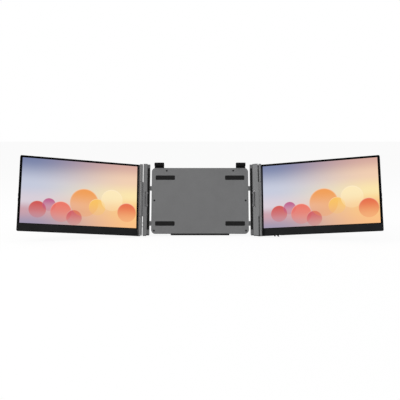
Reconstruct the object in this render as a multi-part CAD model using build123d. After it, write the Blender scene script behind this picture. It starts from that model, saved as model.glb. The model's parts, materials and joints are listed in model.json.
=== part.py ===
from build123d import *
import math
import os

# A folding extender for a laptop: a clamp frame grips the laptop's lid, and a monitor
# hangs on each side of it. Lengths are millimetres and angles are degrees.
#
# Each piece is drawn in an upright frame: X to the right, Y to the back, Z up. Y = 0 is
# the front of the lid that the frame grips. stand() then leans the frame back onto the
# table, with the origin under the middle of the housing's rubber foot.
# A side's pieces are drawn for the right hand, and the left ones are mirrored.

# Stance
TILT = 16.35  # lean of the clamp frame
SWING = 19.87  # turn of each monitor, forward from the plane of the frame

# The lid that the frame takes
LID_HALF_WIDTH = 163.0
LID_THICKNESS = 6.0
LID_HEIGHT = 224.0
LID_FIT = 0.3  # play between the lid's edge and a column

# Monitors
PANEL_WIDTH = 344.2
PANEL_HEIGHT = 193.6
TOP_BORDER = 6.0
CHIN = 23.5
OUTER_BORDER = 7.0
INNER_BORDER = 5.0
MONITOR_THICKNESS = 9.0
FRAME_THICKNESS = 1.2
SHELL_WALL = 1.6
SHELL_BACK = 1.3
MONITOR_CORNER = 4.0
BACK_ROUNDING = 2.4
GLASS_THICKNESS = 1.2
BACKLIGHT_THICKNESS = 2.2
PANEL_MARGIN = 2.0  # how far the glass runs under the front frame
CHIN_INLAY = 0.6
CHIN_EDGE = 1.8  # black line left round the chin's inlay
SEAT = 0.1  # play of a piece in its seat

# Hinges between the columns and the monitors
LEFT_HINGE_REACH = 18.9  # from a column's inner face to the hinge axis
RIGHT_HINGE_REACH = 22.0
LIT_REACH = 31.4  # from a column's inner face outward to the lit area
SCREEN_PLANE = 0.3  # how far the lit area's inner edge stands in front of the lid
LEFT_KNUCKLE = 4.9  # radius
RIGHT_KNUCKLE = 4.2
PIN_RADIUS = 2.0
PIN_PRESS = 0.02
PIN_PLAY = 0.06
STRIP_WIDTH = 10.0
KNUCKLE_LOW = 60.2
KNUCKLE_HIGH = 166.8
KNUCKLE_GAP = 0.8
WASHER = 0.6
STRIP_FOOT = 1.0
FOLD_PLANE = 7.0  # face of the left monitor when it is folded over the frame
FOLD_GAP = 0.8  # air between the two monitors when both are folded

# Columns
COLUMN_RISE = 1.8  # how far a column stands up past the monitor
COLUMN_FRONT = 2.8
RIGHT_FRONT = 0.66  # where the right column's sloping face starts, in front of the lid
LEFT_COLUMN_WIDTH = 11.9
RIGHT_COLUMN_WIDTH = 15.9
RIGHT_BACK_WIDTH = 7.4
RIGHT_NOTCH = 1.8
RAMP_SETBACK = 0.3  # how far behind the hinge axis the sloping face meets the knuckle
WEB_FRONT = 2.2
WEB_THICKNESS = 2.6
LUG_HEIGHTS = (27.5, 39.5)  # lugs that keep the gap beside the lower knuckle
LUG_HEIGHT = 2.4
LUG_DEPTH = 2.0
LUG_PLAY = 0.5
BACK_LIP = 8.3
BACK_LIP_THICKNESS = 2.0
PAD_THICKNESS = 1.0
COLUMN_EDGE = 0.5
FOOT_THICKNESS = 2.5
FOOT_INSET = 0.8

# Side hooks
HOOK_LOW = 90.7
HOOK_HIGH = 136.2
HOOK_AXIS_INSET = 3.2
HOOK_BARREL = 1.5
HOOK_GAP = 1.6  # open room beside the hook's barrel and below it
HOOK_PIN = 0.7
HOOK_THICKNESS = 1.6
HOOK_FACE = 2.5
CLAW_HEIGHT = 6.0
CLAW_REACH = 2.9
HOOK_BAR = 0.6  # how far the hook's bar stands in over the lid
HOOK_PAD = 0.8
HOOK_PLAY = 0.3
PIN_END = 3.0

# Housing behind the lid
HOUSING_GAP = 13.3  # from a column's inner face to the housing's side
HOUSING_LOW = 8.0
HOUSING_DROP = 10.0  # from the lid's upper edge down to the housing's
HOUSING_CORNER = 12.0
HOUSING_ROUNDING = 3.0
PLATE_THICKNESS = 1.5
TRAY_WALL = 2.2
BACK_WALL = 4.6  # solid back of the tray, which the stand's recess is cut into
RIB_DROP = 0.3  # how far the tray's ribs stay behind its rim
PAD_CORNER = 3.0
PAD_WIDTH = 60.0
PAD_HEIGHT = 14.0
SCREW_RADIUS = 1.5
SCREW_HEAD = 2.8
SCREW_HEAD_DEPTH = 1.2
SCREW_LENGTH = 5.0

# Rails of the arms
RAIL_LOW = 40.0
RAIL_DROP = 64.0  # from the housing's upper edge down to the upper rail
RAIL_WIDTH = 14.0
RAIL_THICKNESS = 4.5
RAIL_SETBACK = 1.5
RAIL_ROOM = 0.4  # between a rail and the tray's floor
RAIL_INSIDE = 114.0  # length of a rail in the housing when the arm is pushed in
RAIL_PLAY = 0.15
RAIL_TRAVEL = 36.0
RAIL_WALL = 2.6
RAIL_SEAT_WALL = 3.2
BORE_END = 2.0  # free length of a rail's bore past the rail
STOP_PIN_RADIUS = 1.5
STOP_PIN_INSET = 10.0
RAIL_SCREW = 1.25
RAIL_SCREW_HEAD = 2.4
RAIL_SCREW_LENGTH = 9.0

# Top clips
CLIP_INSET = 8.3  # from the housing's side to a clip
CLIP_WIDTH = 29.8
CLIP_HEAD = 5.2
CLIP_LIFT = 0.3
CLIP_LIP = 5.0
CLIP_LIP_THICKNESS = 2.2
CLIP_STEM = 2.0
CLIP_STEM_LENGTH = 52.0
CLIP_DOWN = 9.5
CLIP_PAD = 0.6
CLIP_PLAY = 0.15
LEAF_THICKNESS = 0.4
LEAF_WIDTH = 8.0
LEAF_SPAN = 20.0
LEAF_PLAY = 0.3

# Kickstand
KICK_PIVOT_HEIGHT = 125.0
KICK_FOOT_HEIGHT = 5.5  # where the folded stand ends
KICK_HALF_WIDTH = 70.0
KICK_TAPER = 16.0  # how much narrower each side is at the foot
KICK_THICKNESS = 2.4
KICK_SET = 1.4
KICK_BARREL = 2.5
KICK_PIN = 1.2
KICK_PIN_END = 5.0
KICK_FRAME = 20.0
KICK_RUBBER = 4.0
KICK_PLAY = 0.3
KICK_EAR = 6.0
RECESS_DEPTH = 2.8

# Rubber strip under the housing
STRIP_HALF_LENGTH = 90.0
STRIP_INSET = 1.0  # from the front of the tray

# Ports, buttons and board at the outer edge
BOARD_INNER = 60.0
BOARD_LOW = 26.0
BOARD_HIGH = 116.0
BOARD_THICKNESS = 1.2
BOARD_STAND = 1.3
BOARD_RIB = 6.0
CHIP_HEIGHT = 1.0
CHIP_SIZES = (14.0, 8.0)
CHIP_PLACE = 36.0  # from the board's lower edge
CHIP_INSET = 12.0
PORT_DEPTH = 8.0
PORT_BACK = 1.0
USB_WIDTH = 9.0
USB_HEIGHT = 2.8
USB_PLACES = (40.0, 56.0)
VIDEO_WIDTH = 10.6
VIDEO_PLACE = 74.0
PORT_WALL = 0.35
TONGUE = 0.7
TONGUE_SETBACK = 2.0
BUTTON_LENGTH = 9.0
BUTTON_WIDTH = 2.6
BUTTON_TRAVEL = 0.5
BUTTON_PROUD = 0.5
BUTTON_COLLAR = 0.8
POWER_PLACE = 92.0
MENU_PLACE = 106.0
BUTTON_STEM = 2.0
SWITCH_DEPTH = 2.4
SHELL_RIBS = 3
RIB_INSET = 14.0  # from the lit area's ends to the outer ribs
RIB_CLEAR = 10.0  # from the board to a rib's end
BOSS_MARGIN = 1.0  # plastic round a screw's head
VENT_COUNT = 12
VENT_PITCH = 4.0
VENT_WIDTH = 1.6
VENT_LENGTH = 16.0
VENT_GAP = 6.0  # from the board up to the slots
EDGE_SCREWS = 3
STRIP_SCREWS = 3
SMALL_SCREW = 1.2
SMALL_HEAD = 2.2
SMALL_HEAD_DEPTH = 0.6
SMALL_LENGTH = 4.2

# Fold-down foot of the right monitor
PRONG_FROM_PANEL = 31.6
PRONG_SPACING = 10.2
PRONG_WIDTH = 5.2
PRONG_TIP_WIDTH = 3.6
PRONG_SLANT = 4.7
PRONG_THICKNESS = 4.0
PRONG_COUNT = 2
PRONG_SIDE_ROOM = 5.8  # past the last prong, for its slanted tip
PRONG_AXIS_DEPTH = 5.2
PRONG_AXIS_HEIGHT = 5.0
PRONG_BARREL = 2.6
PRONG_PIN = 1.0
PRONG_BEND = 4.4  # from the axis down to where a prong starts to slant
PRONG_LENGTH = 11.0
PRONG_POCKET = 17.0
PRONG_FRONT_WALL = 1.8

# Drawing aids
CUT_OVER = 1.0  # how far a cutting shape runs past what it cuts
UNDER_TABLE = 18.0  # what stands on the table is drawn to here, and then cut level

# Depths that follow from those above, from the lid's front to the back
PLATE_FRONT = LID_THICKNESS + PAD_THICKNESS
TRAY_FRONT = PLATE_FRONT + PLATE_THICKNESS
RAIL_FRONT = TRAY_FRONT + RAIL_SETBACK
TRAY_FLOOR = RAIL_FRONT + RAIL_THICKNESS + RAIL_ROOM
COLUMN_BACK = TRAY_FLOOR + BACK_WALL
STRIP_FRONT = TRAY_FRONT + STRIP_INSET
STRIP_BACK = COLUMN_BACK - RECESS_DEPTH - KICK_PLAY

# Places across and up that follow
COLUMN_INNER = LID_HALF_WIDTH + LID_FIT
MONITOR_HEIGHT = CHIN + PANEL_HEIGHT + TOP_BORDER
COLUMN_TOP = MONITOR_HEIGHT + COLUMN_RISE
HOUSING_HALF_WIDTH = COLUMN_INNER - HOUSING_GAP
HOUSING_TOP = LID_HEIGHT - HOUSING_DROP
RAIL_HEIGHTS = (RAIL_LOW, HOUSING_TOP - RAIL_DROP)
RAIL_INNER_END = HOUSING_HALF_WIDTH - RAIL_INSIDE
STOP_PIN_PLACE = HOUSING_HALF_WIDTH - STOP_PIN_INSET
CLIP_INNER = HOUSING_HALF_WIDTH - CLIP_INSET - CLIP_WIDTH
KICK_LENGTH = KICK_PIVOT_HEIGHT - KICK_FOOT_HEIGHT
KICK_FOOT_HALF_WIDTH = KICK_HALF_WIDTH - KICK_TAPER
BUTTON_PLACES = {"power": POWER_PLACE, "menu": MENU_PLACE}

SIN_SWING = math.sin(math.radians(SWING))
COS_SWING = math.cos(math.radians(SWING))
COS_TILT = math.cos(math.radians(TILT))
SIN_TILT = math.sin(math.radians(TILT))
ORIGIN_SETBACK = (STRIP_FRONT + STRIP_BACK) / 2 / COS_TILT


class Side:
    """One side's hinge: its lift before the lid, and the monitor's place on it."""

    def __init__(self, name, fold_plane, hinge_reach, knuckle, inner_reach, column_width):
        self.name = name
        self.mirrored = name == "left"
        self.hinge_reach = hinge_reach
        self.knuckle = knuckle
        self.span = COLUMN_INNER + hinge_reach
        to_edge = LIT_REACH - hinge_reach
        self.lift = (
            fold_plane - to_edge * SIN_SWING + SCREEN_PLANE * COS_SWING
        ) / (1 + COS_SWING)
        self.drop = to_edge * SIN_SWING + (self.lift - SCREEN_PLANE) * COS_SWING
        self.panel = to_edge * COS_SWING - (self.lift - SCREEN_PLANE) * SIN_SWING
        self.inner = self.panel - inner_reach
        self.outer = self.panel + PANEL_WIDTH + OUTER_BORDER
        self.seam = self.drop + FRAME_THICKNESS
        self.rest = self.seam + GLASS_THICKNESS + BACKLIGHT_THICKNESS
        self.back = self.drop + MONITOR_THICKNESS
        self.floor = self.back - SHELL_BACK
        self.column_outer = COLUMN_INNER + column_width


LEFT_REACH = INNER_BORDER + STRIP_WIDTH
RIGHT_REACH = 20.8  # the right monitor's body runs in behind the knuckles
RIGHT_FOLD = FOLD_PLANE + MONITOR_THICKNESS + FOLD_GAP
LEFT = Side(
    "left", FOLD_PLANE, LEFT_HINGE_REACH, LEFT_KNUCKLE, LEFT_REACH, LEFT_COLUMN_WIDTH,
)
RIGHT = Side(
    "right", RIGHT_FOLD, RIGHT_HINGE_REACH, RIGHT_KNUCKLE, RIGHT_REACH, RIGHT_COLUMN_WIDTH,
)


def block(x0, x1, y0, y1, z0, z1):
    """A block between two corners."""
    centre = Pos((x0 + x1) / 2, (y0 + y1) / 2, (z0 + z1) / 2)
    return centre * Box(x1 - x0, y1 - y0, z1 - z0)


def panel(x0, x1, y0, y1, z0, z1, corner):
    """A flat piece that faces forward, with rounded corners."""
    outline = Pos((x0 + x1) / 2, (z0 + z1) / 2) * RectangleRounded(x1 - x0, z1 - z0, corner)
    return Pos(0, y0, 0) * extrude(Plane.XZ * outline, amount=y1 - y0, dir=(0, 1, 0))


def bar(outline, z0, z1):
    """A profile drawn from above, run up the frame from z0 to z1."""
    return Pos(0, 0, z0) * extrude(outline, amount=z1 - z0)


def rod(radius, x, y, z0, z1):
    """A round rod up the frame."""
    return Pos(x, y, (z0 + z1) / 2) * Cylinder(radius, z1 - z0)


def rod_across(radius, y, z, x0, x1):
    """A round rod from side to side."""
    return Pos((x0 + x1) / 2, y, z) * Rot(0, 90, 0) * Cylinder(radius, x1 - x0)


def rod_back(radius, x, z, y0, y1):
    """A round rod from front to back."""
    return Pos(x, (y0 + y1) / 2, z) * Rot(90, 0, 0) * Cylinder(radius, y1 - y0)


def slab(low, high):
    """The level layer between two heights over the table, seen from the upright frame."""
    reach = 2 * (COLUMN_INNER + LIT_REACH + PANEL_WIDTH)
    layer = Box(2 * reach, reach, high - low)
    return Rot(TILT, 0, 0) * Pos(0, 0, (low + high) / 2) * layer


def off_table(shape, height):
    """Cuts a piece level, at a height over the table."""
    return shape - slab(height - 2 * UNDER_TABLE, height)


def stand(shape):
    """Leans a piece of the upright frame back and sets it on the table."""
    return Pos(0, -ORIGIN_SETBACK, 0) * Rot(-TILT, 0, 0) * shape


def both(shape):
    """A piece and its mirror image on the other side of the middle."""
    return shape + mirror(shape, about=Plane.YZ)


def group(pieces):
    """Separate pieces of one kind, kept as one node."""
    return Part() + pieces


def hang(side, shape):
    """Brings a piece from the hinge's own frame to the upright frame."""
    return Pos(side.span, -side.lift, 0) * Rot(0, 0, -SWING) * shape


def place(side, shape):
    """Sets a right-hand piece on its own side, on the table."""
    return stand(mirror(shape, about=Plane.YZ) if side.mirrored else shape)


# Centre housing


def housing_outline(y0, y1):
    return panel(
        -HOUSING_HALF_WIDTH, HOUSING_HALF_WIDTH, y0, y1,
        HOUSING_LOW, HOUSING_TOP, HOUSING_CORNER,
    )


def screw_places():
    """Screws down both edges, with the upper ones set in past the clips."""
    inset = HOUSING_CORNER / 2 + SCREW_HEAD
    across = HOUSING_HALF_WIDTH - inset
    top_across = CLIP_INNER - 3 * SCREW_HEAD
    spots = [
        (across, HOUSING_LOW + inset),
        (across, (HOUSING_LOW + HOUSING_TOP) / 2),
        (top_across, HOUSING_TOP - inset),
    ]
    return [(x * hand, z) for x, z in spots for hand in (-1, 1)]


def front_plate():
    plate = housing_outline(PLATE_FRONT, TRAY_FRONT)
    for x, z in screw_places():
        plate -= rod_back(SCREW_RADIUS + SEAT, x, z, PLATE_FRONT, TRAY_FRONT)
        plate -= rod_back(SCREW_HEAD + SEAT, x, z, PLATE_FRONT, PLATE_FRONT + SCREW_HEAD_DEPTH)
    return plate


def clip_bay():
    """The bay that a clip's stem runs in, open at the top of the tray."""
    return block(
        CLIP_INNER - CLIP_PLAY, CLIP_INNER + CLIP_WIDTH + CLIP_PLAY,
        TRAY_FRONT, TRAY_FRONT + CLIP_STEM + 2 * CLIP_PLAY,
        stem_bottom() - CLIP_DOWN - SEAT, HOUSING_TOP + CUT_OVER,
    )


def stem_bottom():
    return LID_HEIGHT + CLIP_LIFT - CLIP_STEM_LENGTH


def leaf_bay():
    """The pocket behind a clip's stem that holds its leaf spring."""
    middle = CLIP_INNER + CLIP_WIDTH / 2
    half = LEAF_WIDTH / 2 + SEAT
    top = HOUSING_TOP - TRAY_WALL
    return block(
        middle - half, middle + half, TRAY_FRONT, TRAY_FLOOR,
        top - LEAF_SPAN - 2 * SEAT, top,
    )


def rail_bore(height):
    half = RAIL_WIDTH / 2 + RAIL_PLAY
    return block(
        RAIL_INNER_END - BORE_END, HOUSING_HALF_WIDTH + CUT_OVER,
        RAIL_FRONT - RAIL_PLAY, RAIL_FRONT + RAIL_THICKNESS + RAIL_PLAY,
        height - half, height + half,
    )


def tray():
    shell = housing_outline(TRAY_FRONT, COLUMN_BACK)
    shell = fillet(shell.faces().sort_by(Axis.Y)[-1].edges(), HOUSING_ROUNDING)
    shell -= panel(
        TRAY_WALL - HOUSING_HALF_WIDTH, HOUSING_HALF_WIDTH - TRAY_WALL,
        TRAY_FRONT, TRAY_FLOOR,
        HOUSING_LOW + TRAY_WALL, HOUSING_TOP - TRAY_WALL, HOUSING_CORNER - TRAY_WALL,
    )
    half = RAIL_WIDTH / 2 + RAIL_PLAY + RAIL_WALL
    ribs = TRAY_FRONT + RIB_DROP
    for height in RAIL_HEIGHTS:
        guide = block(
            RAIL_INNER_END - BORE_END - RAIL_WALL, HOUSING_HALF_WIDTH - TRAY_WALL,
            ribs, TRAY_FLOOR, height - half, height + half,
        )
        shell += both(guide)
    cheek = block(
        CLIP_INNER - RAIL_WALL, CLIP_INNER + CLIP_WIDTH + RAIL_WALL, ribs, TRAY_FLOOR,
        stem_bottom() - CLIP_DOWN - RAIL_WALL, HOUSING_TOP - TRAY_WALL,
    )
    shell += both(cheek)
    shell += block(
        -KICK_HALF_WIDTH - KICK_EAR, KICK_HALF_WIDTH + KICK_EAR, ribs, TRAY_FLOOR,
        KICK_PIVOT_HEIGHT - 2 * KICK_BARREL, KICK_PIVOT_HEIGHT + 2 * KICK_BARREL,
    )
    for x, z in screw_places():
        shell += rod_back(SCREW_HEAD, x, z, TRAY_FRONT, TRAY_FLOOR)
        shell -= rod_back(SCREW_RADIUS + SEAT, x, z, TRAY_FRONT, PLATE_FRONT + SCREW_LENGTH)
    for height in RAIL_HEIGHTS:
        shell -= both(rail_bore(height))
        shell -= both(stop_pin(height, SEAT))
    shell -= both(clip_bay()) + both(leaf_bay())
    return shell - kickstand_recess()


def kick_pivot_depth():
    return COLUMN_BACK - KICK_SET


def kickstand_recess():
    """The stand's recess in the tray's back, its barrel's groove and its pin's holes."""
    wide = KICK_HALF_WIDTH + KICK_PLAY
    depth = kick_pivot_depth()
    groove = KICK_BARREL + KICK_PLAY
    recess = block(
        -wide, wide, COLUMN_BACK - RECESS_DEPTH, COLUMN_BACK + CUT_OVER,
        HOUSING_LOW - CUT_OVER, KICK_PIVOT_HEIGHT,
    )
    recess += rod_across(groove, depth, KICK_PIVOT_HEIGHT, -wide, wide)
    recess += block(
        -wide, wide, depth, COLUMN_BACK + CUT_OVER,
        KICK_PIVOT_HEIGHT, KICK_PIVOT_HEIGHT + groove,
    )
    reach = KICK_HALF_WIDTH + KICK_PIN_END
    return recess + rod_across(KICK_PIN + SEAT / 2, depth, KICK_PIVOT_HEIGHT, -reach, reach)


def stop_pin(height, play):
    return rod_back(
        STOP_PIN_RADIUS + play, STOP_PIN_PLACE, height, TRAY_FRONT, TRAY_FLOOR,
    )


def stop_pins():
    return both(group([stop_pin(height, 0) for height in RAIL_HEIGHTS]))


def lid_pads():
    across = HOUSING_HALF_WIDTH - HOUSING_CORNER - PAD_WIDTH
    low = HOUSING_LOW + HOUSING_CORNER * 2
    high = HOUSING_TOP - HOUSING_CORNER * 2 - PAD_HEIGHT
    pads = [
        panel(across, across + PAD_WIDTH, LID_THICKNESS, PLATE_FRONT, z, z + PAD_HEIGHT, PAD_CORNER)
        for z in (low, high)
    ]
    return both(group(pads))


def housing_screw(x, z):
    """A screw driven backward, with its flat head flush with the plate."""
    head = rod_back(SCREW_HEAD, x, z, PLATE_FRONT, PLATE_FRONT + SCREW_HEAD_DEPTH)
    return head + rod_back(SCREW_RADIUS, x, z, PLATE_FRONT, PLATE_FRONT + SCREW_LENGTH)


def housing_screws():
    return group([housing_screw(x, z) for x, z in screw_places()])


def table_strip():
    strip = block(
        -STRIP_HALF_LENGTH, STRIP_HALF_LENGTH, STRIP_FRONT, STRIP_BACK,
        HOUSING_LOW - UNDER_TABLE, HOUSING_LOW,
    )
    strip = fillet(strip.edges().filter_by(Axis.Z), (STRIP_BACK - STRIP_FRONT) / 3)
    return off_table(strip, 0)


# Kickstand


def kick_open():
    """The angle between the opened stand and the housing's back."""
    pivot = KICK_PIVOT_HEIGHT * COS_TILT - kick_pivot_depth() * SIN_TILT
    return TILT + math.degrees(math.acos(pivot / KICK_LENGTH))


def opened(shape):
    """Swings a piece of the folded stand out about its pin."""
    pivot = Pos(0, kick_pivot_depth(), KICK_PIVOT_HEIGHT)
    return pivot * Rot(kick_open(), 0, 0) * pivot.inverse() * shape


def kick_outline(foot_end):
    """The stand's face: wide at the pin and narrower at the foot."""
    top = KICK_PIVOT_HEIGHT
    bottom = KICK_PIVOT_HEIGHT - foot_end
    wide = KICK_HALF_WIDTH
    low = KICK_HALF_WIDTH - KICK_TAPER * foot_end / KICK_LENGTH
    return Polygon((-wide, top), (wide, top), (low, bottom), (-low, bottom), align=None)


def kickstand_leg():
    front = kick_pivot_depth() - KICK_THICKNESS / 2
    outline = kick_outline(KICK_LENGTH - KICK_RUBBER)
    window_top = KICK_PIVOT_HEIGHT - KICK_FRAME
    window_low = KICK_PIVOT_HEIGHT - KICK_LENGTH + KICK_RUBBER + KICK_FRAME
    middle = (window_top + window_low) / 2
    window = RectangleRounded(
        2 * (KICK_FOOT_HALF_WIDTH - KICK_FRAME), window_top - window_low, KICK_FRAME / 2,
    )
    face = outline - Pos(0, middle) * window
    leg = Pos(0, front, 0) * extrude(Plane.XZ * face, amount=KICK_THICKNESS, dir=(0, 1, 0))
    half = KICK_HALF_WIDTH
    leg += rod_across(KICK_BARREL, kick_pivot_depth(), KICK_PIVOT_HEIGHT, -half, half)
    leg -= rod_across(KICK_PIN + PIN_PLAY, kick_pivot_depth(), KICK_PIVOT_HEIGHT, -half, half)
    return opened(leg)


def kickstand_rubber():
    front = kick_pivot_depth() - KICK_THICKNESS / 2
    low = KICK_PIVOT_HEIGHT - KICK_LENGTH
    half = KICK_FOOT_HALF_WIDTH - KICK_RUBBER
    rubber = block(
        -half, half, front, front + KICK_THICKNESS, low - KICK_RUBBER, low + KICK_RUBBER,
    )
    return off_table(opened(rubber), 0)


def kickstand_pin():
    half = KICK_HALF_WIDTH + KICK_PIN_END
    return rod_across(KICK_PIN, kick_pivot_depth(), KICK_PIVOT_HEIGHT, -half, half)


# Top clips


def top_clip():
    """A stem that slides behind the plate, a head over the lid and a lip before it."""
    x0 = CLIP_INNER
    x1 = CLIP_INNER + CLIP_WIDTH
    stem_front = TRAY_FRONT + CLIP_PLAY
    under = LID_HEIGHT + CLIP_LIFT
    lip_back = -CLIP_PAD - SEAT
    lip_front = lip_back - CLIP_LIP_THICKNESS
    profile = Polygon(
        (stem_front + CLIP_STEM, stem_bottom()),
        (stem_front + CLIP_STEM, under + CLIP_HEAD),
        (lip_front, under + CLIP_HEAD),
        (lip_front, under - CLIP_LIP),
        (lip_back, under - CLIP_LIP),
        (lip_back, under),
        (stem_front, under),
        (stem_front, stem_bottom()),
        align=None,
    )
    top_corners = profile.vertices().sort_by(Axis.Y)[-2:]
    profile = fillet(top_corners, CLIP_HEAD / 2)
    hook = Pos(x0, 0, 0) * extrude(Plane.YZ * profile, amount=x1 - x0)
    return chamfer(hook.edges().filter_by(Axis.Y).group_by(Axis.Z)[-1], CLIP_HEAD / 4)


def top_clip_pad():
    under = LID_HEIGHT + CLIP_LIFT
    margin = CLIP_HEAD / 3
    return block(
        CLIP_INNER + margin, CLIP_INNER + CLIP_WIDTH - margin,
        -CLIP_PAD - SEAT, -SEAT, under - CLIP_LIP, under - CLIP_LIP / 4,
    )


def clip_leaf():
    """A bowed strip that presses on the stem, so that the clip stays where it is put."""
    middle = CLIP_INNER + CLIP_WIDTH / 2
    top = HOUSING_TOP - TRAY_WALL - SEAT
    low = top - LEAF_SPAN
    crest = TRAY_FRONT + CLIP_PLAY + CLIP_STEM + LEAF_PLAY
    end = 2 * LEAF_THICKNESS
    centre = (low + top) / 2
    outer = ThreePointArc((TRAY_FLOOR, low), (crest, centre), (TRAY_FLOOR, top))
    inner = ThreePointArc(
        (TRAY_FLOOR, top - end), (crest + LEAF_THICKNESS, centre), (TRAY_FLOOR, low + end),
    )
    face = make_face([outer, Line(outer @ 1, inner @ 0), inner, Line(inner @ 1, outer @ 0)])
    return Pos(middle - LEAF_WIDTH / 2, 0, 0) * extrude(Plane.YZ * face, amount=LEAF_WIDTH)


# Arms


def column_section(side):
    """A column seen from above: the front for its own side, and the lip behind the lid."""
    outer = side.column_outer
    lip_in = COLUMN_INNER - BACK_LIP
    lip_back = PLATE_FRONT + BACK_LIP_THICKNESS
    lip = [
        (COLUMN_INNER, COLUMN_BACK),
        (COLUMN_INNER, lip_back),
        (lip_in, lip_back),
        (lip_in, PLATE_FRONT),
        (COLUMN_INNER, PLATE_FRONT),
    ]
    if side.mirrored:
        front = [(COLUMN_INNER, -COLUMN_FRONT), (outer, -COLUMN_FRONT), (outer, COLUMN_BACK)]
    else:
        notch = COLUMN_INNER + RIGHT_BACK_WIDTH
        front = [
            (COLUMN_INNER, ramp(COLUMN_INNER)),
            (outer, ramp(outer)),
            (outer, RIGHT_NOTCH),
            (notch, RIGHT_NOTCH),
            (notch, COLUMN_BACK),
        ]
    section = Polygon(*front, *lip, align=None)
    return fillet(section.vertices(), COLUMN_EDGE)


def ramp(x):
    """Depth of the right column's sloping face, which runs up to its knuckle's inner side."""
    rise = RIGHT.lift - RAMP_SETBACK - RIGHT_FRONT
    slope = rise / (RIGHT.hinge_reach - RIGHT.knuckle)
    return -RIGHT_FRONT - (x - COLUMN_INNER) * slope


def knuckle_web(side):
    """The plate from the column to its knuckle, seen from above."""
    if side.mirrored:
        inner = side.column_outer - COLUMN_EDGE * 2
        back = WEB_THICKNESS - WEB_FRONT
        return Polygon(
            (inner, -WEB_FRONT), (side.span, -WEB_FRONT), (side.span, back), (inner, back),
            align=None,
        )
    inner = COLUMN_INNER + RIGHT_BACK_WIDTH / 2
    return Polygon(
        (inner, ramp(inner)),
        (side.span, ramp(side.span)),
        (side.span - side.knuckle * 0.8, -side.lift + side.knuckle * 0.6),
        (side.column_outer, RIGHT_NOTCH - COLUMN_EDGE * 2),
        (inner, RIGHT_NOTCH - COLUMN_EDGE * 2),
        align=None,
    )


def hook_axis():
    return COLUMN_INNER + HOOK_AXIS_INSET, HOOK_BARREL - HOOK_FACE - SEAT * 2


def hook_pocket():
    """The pocket in a column's inner front corner that the hook folds back into."""
    axis_x, axis_y = hook_axis()
    reach = axis_x - COLUMN_INNER + CLAW_REACH + HOOK_PLAY
    return block(
        COLUMN_INNER - CUT_OVER, axis_x + HOOK_BARREL + HOOK_GAP,
        axis_y - RIGHT.lift - RIGHT.knuckle, axis_y + reach,
        HOOK_LOW - HOOK_GAP, HOOK_HIGH + HOOK_PLAY,
    )


def rail_seat_end(side):
    width = LEFT_COLUMN_WIDTH if side.mirrored else RIGHT_BACK_WIDTH
    return COLUMN_INNER + width - RAIL_SEAT_WALL


def gap_lug(side, height):
    """A lug in front, from the column to just short of the lower knuckle."""
    inner = side.column_outer - RIGHT_NOTCH
    outer = side.span - side.knuckle - LUG_PLAY
    front = ramp(side.column_outer) if not side.mirrored else -COLUMN_FRONT
    return block(
        inner, outer, front + COLUMN_EDGE, front + COLUMN_EDGE + LUG_DEPTH,
        height - LUG_HEIGHT / 2, height + LUG_HEIGHT / 2,
    )


def column(side):
    """The upright of an arm, with the middle knuckle of the hinge."""
    upright = bar(column_section(side), -UNDER_TABLE, COLUMN_TOP)
    upright += bar(knuckle_web(side), KNUCKLE_LOW, KNUCKLE_HIGH)
    upright += rod(side.knuckle, side.span, -side.lift, KNUCKLE_LOW, KNUCKLE_HIGH)
    upright -= rod(PIN_RADIUS + PIN_PRESS, side.span, -side.lift, KNUCKLE_LOW, KNUCKLE_HIGH)
    for height in LUG_HEIGHTS:
        upright += gap_lug(side, height)
    upright -= hook_pocket()
    axis_x, axis_y = hook_axis()
    upright -= rod(HOOK_PIN + PIN_PRESS, axis_x, axis_y, HOOK_LOW - PIN_END, HOOK_HIGH + PIN_END)
    seat_end = rail_seat_end(side)
    half = RAIL_WIDTH / 2 + SEAT
    for height in RAIL_HEIGHTS:
        upright -= block(
            COLUMN_INNER - CUT_OVER, seat_end,
            RAIL_FRONT - SEAT, RAIL_FRONT + RAIL_THICKNESS + SEAT,
            height - half, height + half,
        )
        upright -= rail_screw(side, height, SEAT)
    return off_table(upright, FOOT_THICKNESS)


def rail_screw(side, z, play):
    """A screw through the column's outer wall into the end of a rail."""
    depth = RAIL_FRONT + RAIL_THICKNESS / 2
    head = rail_seat_end(side) + RAIL_SEAT_WALL
    neck = head - RAIL_SEAT_WALL / 2
    shank = rod_across(RAIL_SCREW + play / 2, depth, z, neck - RAIL_SCREW_LENGTH, neck)
    return shank + rod_across(RAIL_SCREW_HEAD + play, depth, z, neck, head + play)


def rail_screws(side):
    return group([rail_screw(side, height, 0) for height in RAIL_HEIGHTS])


def rail(side, height):
    """A flat rail, slotted for its stop pin."""
    y1 = RAIL_FRONT + RAIL_THICKNESS
    half = RAIL_WIDTH / 2
    flat = block(
        RAIL_INNER_END, rail_seat_end(side), RAIL_FRONT, y1, height - half, height + half,
    )
    flat = chamfer(flat.edges().filter_by(Axis.X), COLUMN_EDGE)
    slot_length = RAIL_TRAVEL + 2 * STOP_PIN_RADIUS + 2 * SEAT
    slot = SlotOverall(slot_length, 2 * (STOP_PIN_RADIUS + SEAT))
    middle = Pos(STOP_PIN_PLACE - RAIL_TRAVEL / 2, height)
    flat -= extrude(Plane.XZ * middle * slot, amount=y1 + CUT_OVER, dir=(0, 1, 0))
    return flat - rail_screw(side, height, SEAT)


def rails(side):
    return group([rail(side, height) for height in RAIL_HEIGHTS])


def column_foot(side):
    """The rubber under a column, level with the table."""
    outline = offset(column_section(side), -FOOT_INSET)
    return bar(outline, -UNDER_TABLE, UNDER_TABLE) & slab(0, FOOT_THICKNESS)


def lid_edge_pad():
    """The soft strip on a column's lip, behind the lid."""
    margin = COLUMN_EDGE * 2
    return panel(
        COLUMN_INNER - BACK_LIP + margin, COLUMN_INNER - margin, LID_THICKNESS, PLATE_FRONT,
        HOUSING_LOW + HOUSING_CORNER, COLUMN_TOP - HOUSING_CORNER, COLUMN_EDGE * 4,
    )


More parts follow.
